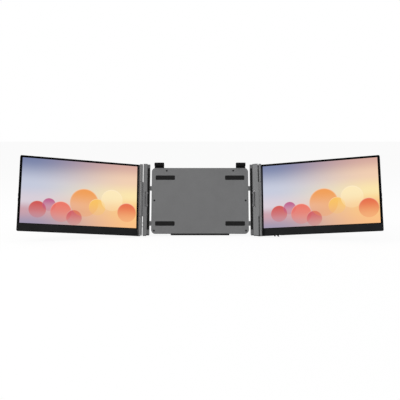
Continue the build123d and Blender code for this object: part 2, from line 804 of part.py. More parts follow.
def hinge_pin(side):
    return rod(PIN_RADIUS, side.span, -side.lift, STRIP_FOOT, MONITOR_HEIGHT)


def hinge_washers(side):
    """A thin friction washer in each gap between knuckles."""
    play = (KNUCKLE_GAP - WASHER) / 2
    washers = []
    for low in (KNUCKLE_LOW - KNUCKLE_GAP, KNUCKLE_HIGH):
        disc = rod(side.knuckle - SEAT, side.span, -side.lift, low + play, low + play + WASHER)
        bore = rod(PIN_RADIUS + PIN_PLAY, side.span, -side.lift, low, low + KNUCKLE_GAP)
        washers.append(disc - bore)
    return group(washers)


def side_hook():
    """A hook that folds back on a pin: a bar with a claw over the lid at each end."""
    axis_x, axis_y = hook_axis()
    bar_end = LID_HALF_WIDTH - HOOK_BAR
    claw_end = COLUMN_INNER - CLAW_REACH
    y0 = -HOOK_FACE
    y1 = y0 + HOOK_THICKNESS
    body = block(bar_end, axis_x, y0, y1, HOOK_LOW, HOOK_HIGH)
    for low in (HOOK_LOW, HOOK_HIGH - CLAW_HEIGHT):
        claw = panel(claw_end, axis_x, y0, y1, low, low + CLAW_HEIGHT, COLUMN_EDGE * 2)
        body += claw
    body += rod(HOOK_BARREL, axis_x, axis_y, HOOK_LOW, HOOK_HIGH)
    return body - rod(HOOK_PIN + PIN_PLAY, axis_x, axis_y, HOOK_LOW, HOOK_HIGH)


def side_hook_pads():
    """A soft pad under each claw."""
    y0 = HOOK_THICKNESS - HOOK_FACE
    pads = [
        block(
            COLUMN_INNER - CLAW_REACH + COLUMN_EDGE, LID_HALF_WIDTH - COLUMN_EDGE,
            y0, y0 + HOOK_PAD, low + COLUMN_EDGE, low + CLAW_HEIGHT - COLUMN_EDGE,
        )
        for low in (HOOK_LOW, HOOK_HIGH - CLAW_HEIGHT)
    ]
    return group(pads)


def hook_pin():
    axis_x, axis_y = hook_axis()
    return rod(HOOK_PIN, axis_x, axis_y, HOOK_LOW - PIN_END, HOOK_HIGH + PIN_END)


# Monitors, in the hinge's own frame: X outward along the monitor and Y to its back


def shell_screw_places(side):
    """Screws along the lower and upper edges of the back cover."""
    inset = SHELL_WALL + SMALL_HEAD + 2 * BOSS_MARGIN
    step = (side.outer - inset - side.panel) / (EDGE_SCREWS - 1)
    heights = (inset, MONITOR_HEIGHT - inset)
    return [(side.panel + i * step, z) for i in range(EDGE_SCREWS) for z in heights]


def boss(side, x, z):
    """A square boss in the back cover, round one of its screws."""
    half = SMALL_HEAD + BOSS_MARGIN
    return block(x - half, x + half, side.rest, side.back - SHELL_BACK / 2, z - half, z + half)


def vent_slots(side):
    """A row of cooling slots through the back cover, above the driver board."""
    low = BOARD_HIGH + VENT_GAP
    first = side.outer - BOARD_INNER
    return group([
        block(
            first + i * VENT_PITCH, first + i * VENT_PITCH + VENT_WIDTH,
            side.floor - CUT_OVER, side.back + CUT_OVER, low, low + VENT_LENGTH,
        )
        for i in range(VENT_COUNT)
    ])


def port_slot(side, place, width, play):
    """The outline of a port or button, run through the outer wall."""
    y = port_depth(side)
    slot = SlotOverall(width + 2 * play, USB_HEIGHT + 2 * play)
    body = extrude(Plane.YZ * Rot(0, 0, 90) * slot, amount=PORT_DEPTH)
    return Pos(side.outer - PORT_DEPTH, y, place) * body


def port_depth(side):
    return side.floor - SEAT - USB_HEIGHT / 2


def button_slot(side, place, play, x0, x1):
    slot = SlotOverall(BUTTON_LENGTH + 2 * play, BUTTON_WIDTH + 2 * play)
    body = extrude(Plane.YZ * Rot(0, 0, 90) * slot, amount=x1 - x0)
    return Pos(x0, port_depth(side), place) * body


def rear_shell(side):
    """The back cover: a shallow tray with ribs, bosses, ports and the hinge's block."""
    shell = panel(
        side.inner, side.outer, side.seam, side.back, 0, MONITOR_HEIGHT, MONITOR_CORNER,
    )
    shell = fillet(shell.faces().sort_by(Axis.Y)[-1].edges(), BACK_ROUNDING)
    cavity_inner = side.panel - PANEL_MARGIN - SEAT
    shell -= block(
        cavity_inner, side.outer - SHELL_WALL, side.seam, side.floor,
        SHELL_WALL, MONITOR_HEIGHT - SHELL_WALL,
    )
    step = (PANEL_HEIGHT - 2 * RIB_INSET) / (SHELL_RIBS - 1)
    reach = side.outer - BOARD_INNER - RIB_CLEAR
    for i in range(SHELL_RIBS):
        z = CHIN + RIB_INSET + i * step
        shell += block(cavity_inner, reach, side.rest, side.floor, z, z + SHELL_WALL)
    if not side.mirrored:
        shell += prong_block(side)
        shell -= prong_pocket(side)
    shell += board_ribs(side)
    for x, z in shell_screw_places(side):
        shell += boss(side, x, z)
        shell -= rear_screw(side, x, z, SEAT)
    shell -= vent_slots(side)
    for place_up in USB_PLACES:
        shell -= port_slot(side, place_up, USB_WIDTH, SEAT)
    shell -= port_slot(side, VIDEO_PLACE, VIDEO_WIDTH, SEAT)
    for place_up in BUTTON_PLACES.values():
        shell -= button_slot(side, place_up, SEAT * 2, side.outer - 2 * SHELL_WALL, side.outer)
    for x, z in strip_screw_places(side):
        shell -= strip_screw(side, x, z, SEAT)
    return shell


def rear_screw(side, x, z, play):
    """A screw from the back of the cover toward the backlight."""
    y = side.back
    head = rod_back(SMALL_HEAD + play, x, z, y - SMALL_HEAD_DEPTH, y + play)
    return head + rod_back(SMALL_SCREW + play / 2, x, z, y - SMALL_LENGTH - play, y)


def strip_screw(side, x, z, play):
    """The same screw through the hinge strip's flange into the cover's block."""
    y = side.drop
    head = rod_back(SMALL_HEAD + play, x, z, y - play, y + SMALL_HEAD_DEPTH)
    return head + rod_back(SMALL_SCREW + play / 2, x, z, y, y + SMALL_LENGTH + play)


def monitor_screws(side):
    rear = [rear_screw(side, x, z, 0) for x, z in shell_screw_places(side)]
    return group(rear + [strip_screw(side, x, z, 0) for x, z in strip_screw_places(side)])


def board_ribs(side):
    """Two low ribs that the board lies on, near its lower and upper edges."""
    x0 = side.outer - BOARD_INNER
    x1 = side.outer - PORT_DEPTH
    lows = (BOARD_LOW, BOARD_HIGH - BOARD_RIB)
    y0 = side.floor - BOARD_STAND
    return group([block(x0, x1, y0, side.floor, low, low + BOARD_RIB) for low in lows])


def driver_board(side):
    """The circuit board, its chips and the two switches behind the buttons."""
    y1 = side.floor - BOARD_STAND
    y0 = y1 - BOARD_THICKNESS
    x0 = side.outer - BOARD_INNER
    x1 = side.outer - PORT_DEPTH
    board = block(x0, x1, y0, y1, BOARD_LOW, BOARD_HIGH)
    left = x0 + CHIP_INSET
    low = BOARD_LOW + CHIP_PLACE
    for size in CHIP_SIZES:
        board += block(left, left + size, y1, y1 + CHIP_HEIGHT, low, low + size)
        left += size + CHIP_INSET / 2
    half = BUTTON_STEM
    for z in BUTTON_PLACES.values():
        board += block(x1, x1 + SWITCH_DEPTH, y0, y1, z - half, z + half)
    return board


def port(side, place_up, width):
    """A socket: a thin metal mouth with a tongue in it."""
    y = port_depth(side)
    body = port_slot(side, place_up, width, 0)
    inner = SlotOverall(width - 2 * PORT_WALL, USB_HEIGHT - 2 * PORT_WALL)
    mouth = extrude(Plane.YZ * Rot(0, 0, 90) * inner, amount=PORT_DEPTH)
    body -= Pos(side.outer - PORT_DEPTH + PORT_BACK, y, place_up) * mouth
    half = (width - USB_HEIGHT) / 2
    tongue = block(
        side.outer - PORT_DEPTH, side.outer - TONGUE_SETBACK, y - TONGUE / 2, y + TONGUE / 2,
        place_up - half, place_up + half,
    )
    return body + tongue


def ports(side):
    sockets = [port(side, z, USB_WIDTH) for z in USB_PLACES]
    return group([*sockets, port(side, VIDEO_PLACE, VIDEO_WIDTH)])


def button(side, place_up):
    """A sprung button: a cap in the outer wall and a collar behind it."""
    wall = side.outer - SHELL_WALL
    tip = side.outer - PORT_DEPTH + SWITCH_DEPTH + BUTTON_TRAVEL + SEAT
    cap = button_slot(side, place_up, 0, wall - SEAT, side.outer + BUTTON_PROUD)
    y = port_depth(side)
    half = BUTTON_LENGTH / 2 + BUTTON_COLLAR
    collar = block(
        wall - SEAT - BUTTON_COLLAR, wall - SEAT, y - BUTTON_WIDTH / 2, y + BUTTON_WIDTH / 2,
        place_up - half, place_up + half,
    )
    wide = BUTTON_STEM
    stem = block(tip, wall - SEAT, y - wide / 2, y + wide / 2, place_up - wide, place_up + wide)
    return cap + collar + stem


def front_frame(side):
    """The black frame round the glass, with a shallow seat for the chin's inlay."""
    inner = side.panel - INNER_BORDER + SEAT
    frame = panel(
        inner - STRIP_WIDTH, side.outer, side.drop, side.seam, 0, MONITOR_HEIGHT, MONITOR_CORNER,
    )
    frame -= block(
        inner - STRIP_WIDTH, inner, side.drop, side.seam, 0, MONITOR_HEIGHT,
    )
    frame -= block(
        side.panel, side.panel + PANEL_WIDTH, side.drop, side.seam,
        CHIN, CHIN + PANEL_HEIGHT,
    )
    return frame - chin_panel(side, SEAT)


def chin_panel(side, play):
    return panel(
        side.panel - INNER_BORDER + CHIN_EDGE - play, side.outer - CHIN_EDGE + play,
        side.drop, side.drop + CHIN_INLAY,
        CHIN_EDGE - play, CHIN - CHIN_EDGE + play, CHIN_EDGE,
    )


def glass(side):
    return block(
        side.panel - PANEL_MARGIN, side.panel + PANEL_WIDTH + PANEL_MARGIN,
        side.seam, side.seam + GLASS_THICKNESS,
        CHIN - PANEL_MARGIN, CHIN + PANEL_HEIGHT + PANEL_MARGIN,
    )


def backlight(side):
    y0 = side.seam + GLASS_THICKNESS
    return block(
        side.panel - PANEL_MARGIN, side.panel + PANEL_WIDTH + PANEL_MARGIN,
        y0, y0 + BACKLIGHT_THICKNESS,
        CHIN - PANEL_MARGIN, CHIN + PANEL_HEIGHT + PANEL_MARGIN,
    )


def strip_section(side):
    """The hinge strip seen from above: a flange, and a neck up to the knuckle."""
    x0 = side.panel - LEFT_REACH
    x1 = side.panel - INNER_BORDER
    neck = side.knuckle * 0.9
    flange = Polygon((x0, side.drop), (x1, side.drop), (x1, side.seam), (x0, side.seam), align=None)
    riser = Polygon(
        (-neck, 0), (neck, 0), (min(x1, neck), side.drop), (max(x0, -neck), side.drop),
        align=None,
    )
    return flange, riser


def hinge_strip(side):
    """The grey strip down the monitor's inner edge, with the upper and lower knuckles."""
    flange, riser = strip_section(side)
    strip = bar(flange, STRIP_FOOT, MONITOR_HEIGHT)
    for low, high in (
        (STRIP_FOOT, KNUCKLE_LOW - KNUCKLE_GAP),
        (KNUCKLE_HIGH + KNUCKLE_GAP, MONITOR_HEIGHT),
    ):
        strip += bar(riser, low, high) + rod(side.knuckle, 0, 0, low, high)
        strip -= rod(PIN_RADIUS + PIN_PLAY, 0, 0, low, high)
    for x, z in strip_screw_places(side):
        strip -= strip_screw(side, x, z, SEAT)
    return strip


def strip_screw_places(side):
    x = side.panel - INNER_BORDER - STRIP_WIDTH / 2
    margin = STRIP_WIDTH
    step = (KNUCKLE_HIGH - KNUCKLE_LOW - 2 * margin) / (STRIP_SCREWS - 1)
    return [(x, KNUCKLE_LOW + margin + i * step) for i in range(STRIP_SCREWS)]


def prong_places(side):
    first = side.panel + PRONG_FROM_PANEL
    return [first + i * PRONG_SPACING for i in range(PRONG_COUNT)]


def prong_span(side):
    places = prong_places(side)
    return places[0] - PRONG_WIDTH, places[-1] + PRONG_WIDTH / 2 + PRONG_SIDE_ROOM


def prong_block(side):
    x0, x1 = prong_span(side)
    margin = SHELL_WALL + PIN_END
    return block(
        x0 - margin, x1 + margin, side.seam, side.back - SHELL_BACK / 2,
        SHELL_WALL / 2, PRONG_POCKET + SHELL_WALL,
    )


def prong_pocket(side):
    x0, x1 = prong_span(side)
    pocket = block(
        x0 - KICK_PLAY, x1 + KICK_PLAY, side.drop + PRONG_FRONT_WALL, side.back + CUT_OVER,
        -CUT_OVER, PRONG_POCKET,
    )
    y = side.drop + PRONG_AXIS_DEPTH
    return pocket + rod_across(
        PRONG_PIN + PIN_PRESS, y, PRONG_AXIS_HEIGHT, x0 - PIN_END, x1 + PIN_END,
    )


def support_foot(side):
    """A barrel on a pin, and slanted prongs that reach the table."""
    x0, x1 = prong_span(side)
    y = side.drop + PRONG_AXIS_DEPTH
    z = PRONG_AXIS_HEIGHT
    foot = rod_across(PRONG_BARREL, y, z, x0, x1)
    half = PRONG_WIDTH / 2
    tip_half = PRONG_TIP_WIDTH / 2
    bend = z - PRONG_BEND
    tip = z - PRONG_LENGTH
    for x in prong_places(side):
        tip_x = x + PRONG_SLANT
        outline = Polygon(
            (x - half, z), (x + half, z), (x + half, bend),
            (tip_x + tip_half, tip), (tip_x - tip_half, tip), (x - half, bend),
            align=None,
        )
        prong = extrude(Plane.XZ * outline, amount=PRONG_THICKNESS, dir=(0, 1, 0))
        foot += Pos(0, y - PRONG_THICKNESS / 2, 0) * prong
    return foot - rod_across(PRONG_PIN + PIN_PLAY, y, z, x0, x1)


def support_foot_pin(side):
    x0, x1 = prong_span(side)
    y = side.drop + PRONG_AXIS_DEPTH
    return rod_across(PRONG_PIN, y, PRONG_AXIS_HEIGHT, x0 - PIN_END, x1 + PIN_END)


def centre_nodes():
    return {
        "front_plate": front_plate(),
        "rear_housing": tray(),
        "lid_pads": lid_pads(),
        "housing_screws": housing_screws(),
        "rail_stop_pins": stop_pins(),
        "clip_leaf_springs": both(clip_leaf()),
        "table_strip": table_strip(),
        "kickstand_pin": kickstand_pin(),
        "kickstand_leg": kickstand_leg(),
        "kickstand_rubber": kickstand_rubber(),
    }


def arm_nodes(side):
    return {
        "column": column(side),
        "column_foot": column_foot(side),
        "rails": rails(side),
        "rail_screws": rail_screws(side),
        "lid_edge_pad": lid_edge_pad(),
        "hinge_pin": hinge_pin(side),
        "hinge_washers": hinge_washers(side),
        "side_hook": side_hook(),
        "side_hook_pads": side_hook_pads(),
        "side_hook_pin": hook_pin(),
        "top_clip": top_clip(),
        "top_clip_pad": top_clip_pad(),
    }


def monitor_nodes(side):
    nodes = {
        "rear_shell": rear_shell(side),
        "front_frame": front_frame(side),
        "chin_inlay": chin_panel(side, 0),
        "screen_glass": glass(side),
        "backlight": backlight(side),
        "driver_board": driver_board(side),
        "ports": ports(side),
        "hinge_strip": hinge_strip(side),
        "monitor_screws": monitor_screws(side),
    }
    for name, place_up in BUTTON_PLACES.items():
        nodes[name + "_button"] = button(side, place_up)
    if not side.mirrored:
        nodes["support_foot"] = support_foot(side)
        nodes["support_foot_pin"] = support_foot_pin(side)
    return nodes


def all_nodes():
    nodes = {name: stand(shape) for name, shape in centre_nodes().items()}
    for side in (LEFT, RIGHT):
        for name, shape in arm_nodes(side).items():
            nodes[side.name + "_" + name] = place(side, shape)
        for name, shape in monitor_nodes(side).items():
            hung = hang(side, shape)
            if name == "support_foot":
                hung = off_table(hung, 0)
            nodes[side.name + "_" + name] = place(side, hung)
    return nodes


os.makedirs("parts", exist_ok=True)
for node, solid in all_nodes().items():
    export_step(solid, "parts/" + node + ".step")
print("stand opened by", round(kick_open(), 2), "degrees")
print("left lift, drop, panel", LEFT.lift, LEFT.drop, LEFT.panel)
print("right lift, drop, panel", RIGHT.lift, RIGHT.drop, RIGHT.panel)
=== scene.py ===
# %% [markdown]
# # A folding extender with two monitors, dressed in Blender
#
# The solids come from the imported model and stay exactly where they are. This lesson gives
# them light, materials and a picture on the screens. It replaces the few pieces that a plain
# solid can't stand for, which are screws, rubber pads and feet, and adds tongues and contacts
# in the sockets. The text before each piece says what the real one is, how it could be made,
# and why it is made this way here.

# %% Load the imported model
import json
import math

import bmesh
import bpy
from mathutils import Matrix, Vector

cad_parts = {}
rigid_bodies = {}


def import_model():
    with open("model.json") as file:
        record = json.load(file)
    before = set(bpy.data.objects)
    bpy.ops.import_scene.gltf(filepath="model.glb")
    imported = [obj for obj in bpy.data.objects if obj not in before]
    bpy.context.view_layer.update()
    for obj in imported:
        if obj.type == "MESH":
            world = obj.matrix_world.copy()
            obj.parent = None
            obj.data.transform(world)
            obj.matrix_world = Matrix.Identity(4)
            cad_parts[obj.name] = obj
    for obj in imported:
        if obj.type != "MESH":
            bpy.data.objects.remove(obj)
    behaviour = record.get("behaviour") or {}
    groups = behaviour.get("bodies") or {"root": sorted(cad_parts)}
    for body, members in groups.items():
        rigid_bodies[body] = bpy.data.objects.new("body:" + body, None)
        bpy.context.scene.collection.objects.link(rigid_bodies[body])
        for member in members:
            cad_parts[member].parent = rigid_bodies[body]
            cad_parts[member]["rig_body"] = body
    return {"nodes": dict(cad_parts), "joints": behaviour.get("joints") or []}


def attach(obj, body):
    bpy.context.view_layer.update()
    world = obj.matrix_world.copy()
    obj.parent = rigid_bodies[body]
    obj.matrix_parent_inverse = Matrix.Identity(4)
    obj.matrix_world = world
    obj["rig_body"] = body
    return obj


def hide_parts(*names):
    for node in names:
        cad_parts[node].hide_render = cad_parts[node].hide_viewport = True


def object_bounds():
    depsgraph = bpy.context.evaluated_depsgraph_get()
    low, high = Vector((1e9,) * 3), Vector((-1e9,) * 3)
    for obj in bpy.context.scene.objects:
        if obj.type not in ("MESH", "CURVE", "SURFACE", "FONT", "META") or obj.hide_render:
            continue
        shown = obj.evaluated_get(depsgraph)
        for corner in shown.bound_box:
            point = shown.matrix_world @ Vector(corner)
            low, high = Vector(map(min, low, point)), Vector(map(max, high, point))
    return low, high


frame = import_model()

nodes = frame["nodes"]
joints = {joint["name"]: joint for joint in frame["joints"]}
cad_low, cad_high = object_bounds()
print("nodes:", len(nodes), "size:", [round(v, 3) for v in cad_high - cad_low])

# %% [markdown]
# ## Directions of the object
#
# The clamp frame leans back and each monitor is turned, so "up", "out" and "forward" differ
# from piece to piece. They could be typed in as angles, but the joints of the model already
# hold them: the top clips slide up the frame, and a button is pressed in toward its monitor.

# %% Directions of the frame and of each monitor
RIGHTWARD = Vector((1, 0, 0))
UP_FRAME = Vector(joints["left_clip_slide"]["axis"]).normalized()
FORWARD_FRAME = RIGHTWARD.cross(UP_FRAME)
SIDES = ("left", "right")
ALONG = {
    "left": Vector(joints["left_power_press"]["axis"]).normalized(),
    "right": -Vector(joints["right_power_press"]["axis"]).normalized(),
}
FORWARD = {side: ALONG[side].cross(UP_FRAME) for side in SIDES}
print("up the frame:", [round(v, 3) for v in UP_FRAME])


def reach(node, direction):
    """How far a node reaches along a direction: its lowest and highest value, in metres."""
    values = [vertex.co.dot(direction) for vertex in nodes[node].data.vertices]
    return min(values), max(values)


# %% [markdown]
# ## Camera
#
# A long lens from a little above the table, straight in front. The lens is given through the
# sensor's width, so that it holds for a square picture of any size.

# %% Camera
SENSOR_WIDTH = 36  # millimetres, like the focal length
FOCAL_LENGTH = 55.74
FARTHEST_SEEN = 100
CAMERA_PLACE = (0, -1.87988, 0.304)
CAMERA_RAISED = 84.06  # degrees up from looking straight down

camera_data = bpy.data.cameras.new("camera")
camera_data.sensor_width = SENSOR_WIDTH
camera_data.lens = FOCAL_LENGTH
camera_data.clip_end = FARTHEST_SEEN
camera = bpy.data.objects.new("camera", camera_data)
camera.location = CAMERA_PLACE
camera.rotation_euler = (math.radians(CAMERA_RAISED), 0, 0)
bpy.context.scene.collection.objects.link(camera)
bpy.context.scene.camera = camera
print("camera at", [round(v, 3) for v in camera.location])

# %% [markdown]
# ## Small helpers for shader nodes
#
# A material is a graph. Adding nodes by hand in code gets long, so a few helpers do it. They
# add a node and fill its sockets by name, calculate, measure along a direction, mix two
# colours and map one range of values to another. A socket takes either a number or another
# node's output.

# %% Helpers for shader nodes
def feed(tree, value, socket):
    """Links an output to a socket, or sets the socket's own value."""
    if isinstance(value, bpy.types.NodeSocket):
        tree.links.new(value, socket)
    else:
        socket.default_value = value


def add(tree, kind, sockets=None, **settings):
    """Adds a shader node. Sockets are filled by name or by number."""
    node = tree.nodes.new("ShaderNode" + kind)
    for name, value in settings.items():
        setattr(node, name, value)
    for name, value in (sockets or {}).items():
        feed(tree, value, node.inputs[name])
    return node


def calc(tree, operation, *values, clamp=False):
    """Adds a Math node and gives its result."""
    sockets = dict(enumerate(values))
    return add(tree, "Math", sockets, operation=operation, use_clamp=clamp).outputs[0]


def along(tree, position, direction):
    """How far a position lies along a direction."""
    sockets = {0: position, 1: tuple(direction)}
    return add(tree, "VectorMath", sockets, operation="DOT_PRODUCT").outputs["Value"]


def mix_colour(tree, amount, first, second):
    """Mixes two colours. They go into the node's sockets 6 and 7 and leave by output 2."""
    node = add(tree, "Mix", {"Factor": amount, 6: first, 7: second}, data_type="RGBA")
    return node.outputs[2]


def remap(tree, value, low, high, to_low=0.0, to_high=1.0, smooth=False):
    """Maps a range of values to another, and holds it at both ends."""
    kind = "SMOOTHSTEP" if smooth else "LINEAR"
    sockets = {"Value": value, 1: low, 2: high, 3: to_low, 4: to_high}
    return add(tree, "MapRange", sockets, interpolation_type=kind).outputs[0]


def object_place(tree):
    """The place of a point of the surface in the object's own frame."""
    return add(tree, "TexCoord").outputs["Object"]


def new_material(name):
    """A new material with its graph and its shader."""
    made = bpy.data.materials.new(name)
    made.use_nodes = True
    return made, made.node_tree, made.node_tree.nodes["Principled BSDF"]


# %% [markdown]
# ## Finishes that several materials share
#
# Moulded plastic, blasted metal and rubber have the same three things on top of their
# colour: a fine grain that breaks up the gloss, edges that have gone lighter, partly from
# wear in handling and partly as a painted highlight, and a little dust and grease. Each is a
# node group with named inputs, so a material says only how much of it there is. A group puts
# out masks and heights, and the shader itself stays in the material.

# %% Start of a shader group
SOCKET_KINDS = {"Position": "Vector", "Under": "Color", "Colour": "Color", "Result": "Color"}


def shader_group(name, inputs, outputs):
    """A new node group. Its sockets take numbers, but for those in the table above."""
    group = bpy.data.node_groups.new(name, "ShaderNodeTree")
    for title, value in inputs.items():
        kind = "NodeSocket" + SOCKET_KINDS.get(title, "Float")
        socket = group.interface.new_socket(title, in_out="INPUT", socket_type=kind)
        if value is not None:
            socket.default_value = value
    for title in outputs:
        kind = "NodeSocket" + SOCKET_KINDS.get(title, "Float")
        group.interface.new_socket(title, in_out="OUTPUT", socket_type=kind)
    return group, group.nodes.new("NodeGroupInput").outputs, group.nodes.new("NodeGroupOutput")


def use(tree, group, sockets):
    """Places a group in a material and gives its outputs."""
    node = tree.nodes.new("ShaderNodeGroup")
    node.node_tree = group
    for name, value in sockets.items():
        feed(tree, value, node.inputs[name])
    return node.outputs


# %% Surface grain group
grain_group, entry, leave = shader_group(
    "surface_grain", {"Position": None, "Size": 0.0005, "Unevenness": 0.5},
    ["Height", "Patches"],
)
scale = calc(grain_group, "DIVIDE", 1.0, entry["Size"])
fine = add(
    grain_group, "TexNoise", {"Vector": entry["Position"], "Scale": scale, "Detail": 3.0},
)
pits = add(grain_group, "TexVoronoi", {"Vector": entry["Position"], "Scale": scale})
cloud = add(
    grain_group, "TexNoise", {"Vector": entry["Position"], "Scale": 28.0, "Detail": 4.0},
)
pitted = calc(grain_group, "MULTIPLY", pits.outputs["Distance"], entry["Unevenness"])
height = calc(grain_group, "ADD", fine.outputs[0], pitted)
feed(grain_group, height, leave.inputs["Height"])
feed(grain_group, cloud.outputs[0], leave.inputs["Patches"])
print("group:", grain_group.name)

# %% Edge group: worn edges, partly a painted edge highlight
EDGE_BEGINS, EDGE_FULL = 0.995, 0.86  # cosines between the plain and the rounded normal

edge_wear_and_highlight_group, entry, leave = shader_group(
    "worn_edges", {"Position": None, "Width": 0.0006, "Amount": 0.5}, ["Mask"],
)
# The edge mask lightens the colour along edges: partly wear, partly a painted highlight.
rounded = add(edge_wear_and_highlight_group, "Bevel", {"Radius": entry["Width"]}, samples=4)
plain = add(edge_wear_and_highlight_group, "NewGeometry")
turn = add(
    edge_wear_and_highlight_group, "VectorMath", {0: rounded.outputs[0], 1: plain.outputs["Normal"]},
    operation="DOT_PRODUCT",
)
edge = remap(edge_wear_and_highlight_group, turn.outputs["Value"], EDGE_BEGINS, EDGE_FULL)
edge_breakup = add(
    edge_wear_and_highlight_group, "TexNoise", {"Vector": entry["Position"], "Scale": 160.0, "Detail": 5.0},
)
broken = remap(edge_wear_and_highlight_group, edge_breakup.outputs[0], 0.42, 0.60)
worn_and_highlit_edge = calc(edge_wear_and_highlight_group, "MULTIPLY", edge, broken)
feed(edge_wear_and_highlight_group, calc(edge_wear_and_highlight_group, "MULTIPLY", worn_and_highlit_edge, entry["Amount"]), leave.inputs["Mask"])
print("group:", edge_wear_and_highlight_group.name)

# %% Dust and grease group
dust_group, entry, leave = shader_group(
    "dust_and_grease", {"Position": None, "Dust": 0.3, "Grease": 0.3}, ["Dust", "Grease"],
)
plain = add(dust_group, "NewGeometry")
facing_up = along(dust_group, plain.outputs["Normal"], (0, 0, 1))
settled = remap(dust_group, facing_up, 0.2, 1.0, 0.15, 1.0)
specks = add(
    dust_group, "TexNoise", {"Vector": entry["Position"], "Scale": 420.0, "Detail": 2.0},
)
speckled = remap(dust_group, specks.outputs[0], 0.52, 0.72)
dust = calc(dust_group, "MULTIPLY", settled, speckled)
prints = add(
    dust_group, "TexNoise", {"Vector": entry["Position"], "Scale": 34.0, "Distortion": 1.4},
)
greasy = remap(dust_group, prints.outputs[0], 0.50, 0.74)
feed(dust_group, calc(dust_group, "MULTIPLY", dust, entry["Dust"]), leave.inputs["Dust"])
feed(dust_group, calc(dust_group, "MULTIPLY", greasy, entry["Grease"]), leave.inputs["Grease"])
print("group:", dust_group.name)

# %% [markdown]
# ## One recipe for the plain finishes
#
# Painted metal, anodised metal, moulded plastic and rubber differ in numbers more than in
# kind. So one function builds the graph, and each finish gives its own colour, gloss, grain,
# wear and dust. Values that are the same all over are set on the shader's own sockets.

# %% The finish recipe
DUST_COLOUR = (0.32, 0.31, 0.30, 1)
materials = {}


def finish(
    name, colour, roughness, metallic=0.0, gloss=0.5, grain=0.0004, bump=0.15, uneven=0.5,
    mottle=0.12, worn_and_highlit=None, worn_amount=0.4, edge=0.0005, dust=0.2, grease=0.2,
):
    """A solid finish with grain, patches, lighter edges that are part wear and part painted
    highlight, and a little dust.
    """
    made, tree, shader = new_material(name)
    place = object_place(tree)
    surface = use(tree, grain_group, {"Position": place, "Size": grain, "Unevenness": uneven})
    wear_and_highlight = use(tree, edge_wear_and_highlight_group, {"Position": place, "Width": edge, "Amount": worn_amount})
    film = use(tree, dust_group, {"Position": place, "Dust": dust, "Grease": grease})
    dark = [value * (1 - mottle) for value in colour] + [1]
    light = [min(1, value * (1 + mottle)) for value in colour] + [1]
    patches = remap(tree, surface["Patches"], 0.35, 0.65)
    base = mix_colour(tree, patches, dark, light)
    # Edges take a lighter colour, which is partly wear and partly a painted highlight.
    base = mix_colour(tree, wear_and_highlight["Mask"], base, [*(worn_and_highlit or light[:3]), 1])
    base = mix_colour(tree, film["Dust"], base, DUST_COLOUR)
    feed(tree, base, shader.inputs["Base Color"])
    duller = remap(tree, surface["Patches"], 0.3, 0.7, roughness * 0.9, roughness * 1.1)
    duller = calc(tree, "SUBTRACT", duller, calc(tree, "MULTIPLY", film["Grease"], 0.12))
    duller = calc(tree, "ADD", duller, calc(tree, "MULTIPLY", film["Dust"], 0.3), clamp=True)
    feed(tree, duller, shader.inputs["Roughness"])
    bumped = add(
        tree, "Bump", {"Height": surface["Height"], "Strength": bump, "Distance": grain},
    )
    rounding = add(tree, "Bevel", {"Radius": edge}, samples=4)
    feed(tree, rounding.outputs[0], bumped.inputs["Normal"])
    feed(tree, bumped.outputs[0], shader.inputs["Normal"])
    shader.inputs["Metallic"].default_value = metallic
    shader.inputs["Specular IOR Level"].default_value = gloss
    materials[name] = made


# %% [markdown]
# ## The finishes of this object
#
# The columns, the hinge strips and the plate behind the lid are aluminium, blasted and
# anodised grey. The monitors' backs are painted nearly black, their front frames are black
# plastic with a slightly lighter panel under the screen. The clamp's housing is moulded, the
# clips are nylon, and the small hooks on the columns are cast and painted grey.

# %% Metals and paints
finish(
    "anodised_grey", (0.150, 0.151, 0.153), 0.50, metallic=0.60, gloss=0.3, grain=0.00035,
    bump=0.22, mottle=0.03, worn_and_highlit=(0.27, 0.27, 0.275), worn_amount=0.4, dust=0.02, grease=0.30,
)
finish(
    "painted_back", (0.017, 0.017, 0.019), 0.62, gloss=0.12, grain=0.0005, bump=0.25,
    worn_and_highlit=(0.07, 0.07, 0.073), worn_amount=0.3, dust=0.05, grease=0.45,
)
finish(
    "cast_grey", (0.125, 0.125, 0.128), 0.46, metallic=0.35, gloss=0.3, grain=0.0003,
    bump=0.12, worn_and_highlit=(0.25, 0.25, 0.255), worn_amount=0.5, dust=0.02,
)
finish(
    "turned_steel", (0.46, 0.46, 0.47), 0.27, metallic=1.0, grain=0.0002, bump=0.08,
    mottle=0.06, worn_and_highlit=(0.58, 0.58, 0.59), dust=0.0,
)
finish(
    "rolled_steel", (0.38, 0.38, 0.39), 0.38, metallic=1.0, grain=0.0008, bump=0.10,
    mottle=0.10, dust=0.0,
)
finish(
    "black_oxide", (0.016, 0.016, 0.017), 0.40, metallic=0.45, gloss=0.2, grain=0.0002,
    bump=0.10, worn_and_highlit=(0.12, 0.12, 0.123), worn_amount=0.6, edge=0.0002, dust=0.02,
)
print("metals:", ", ".join(materials))

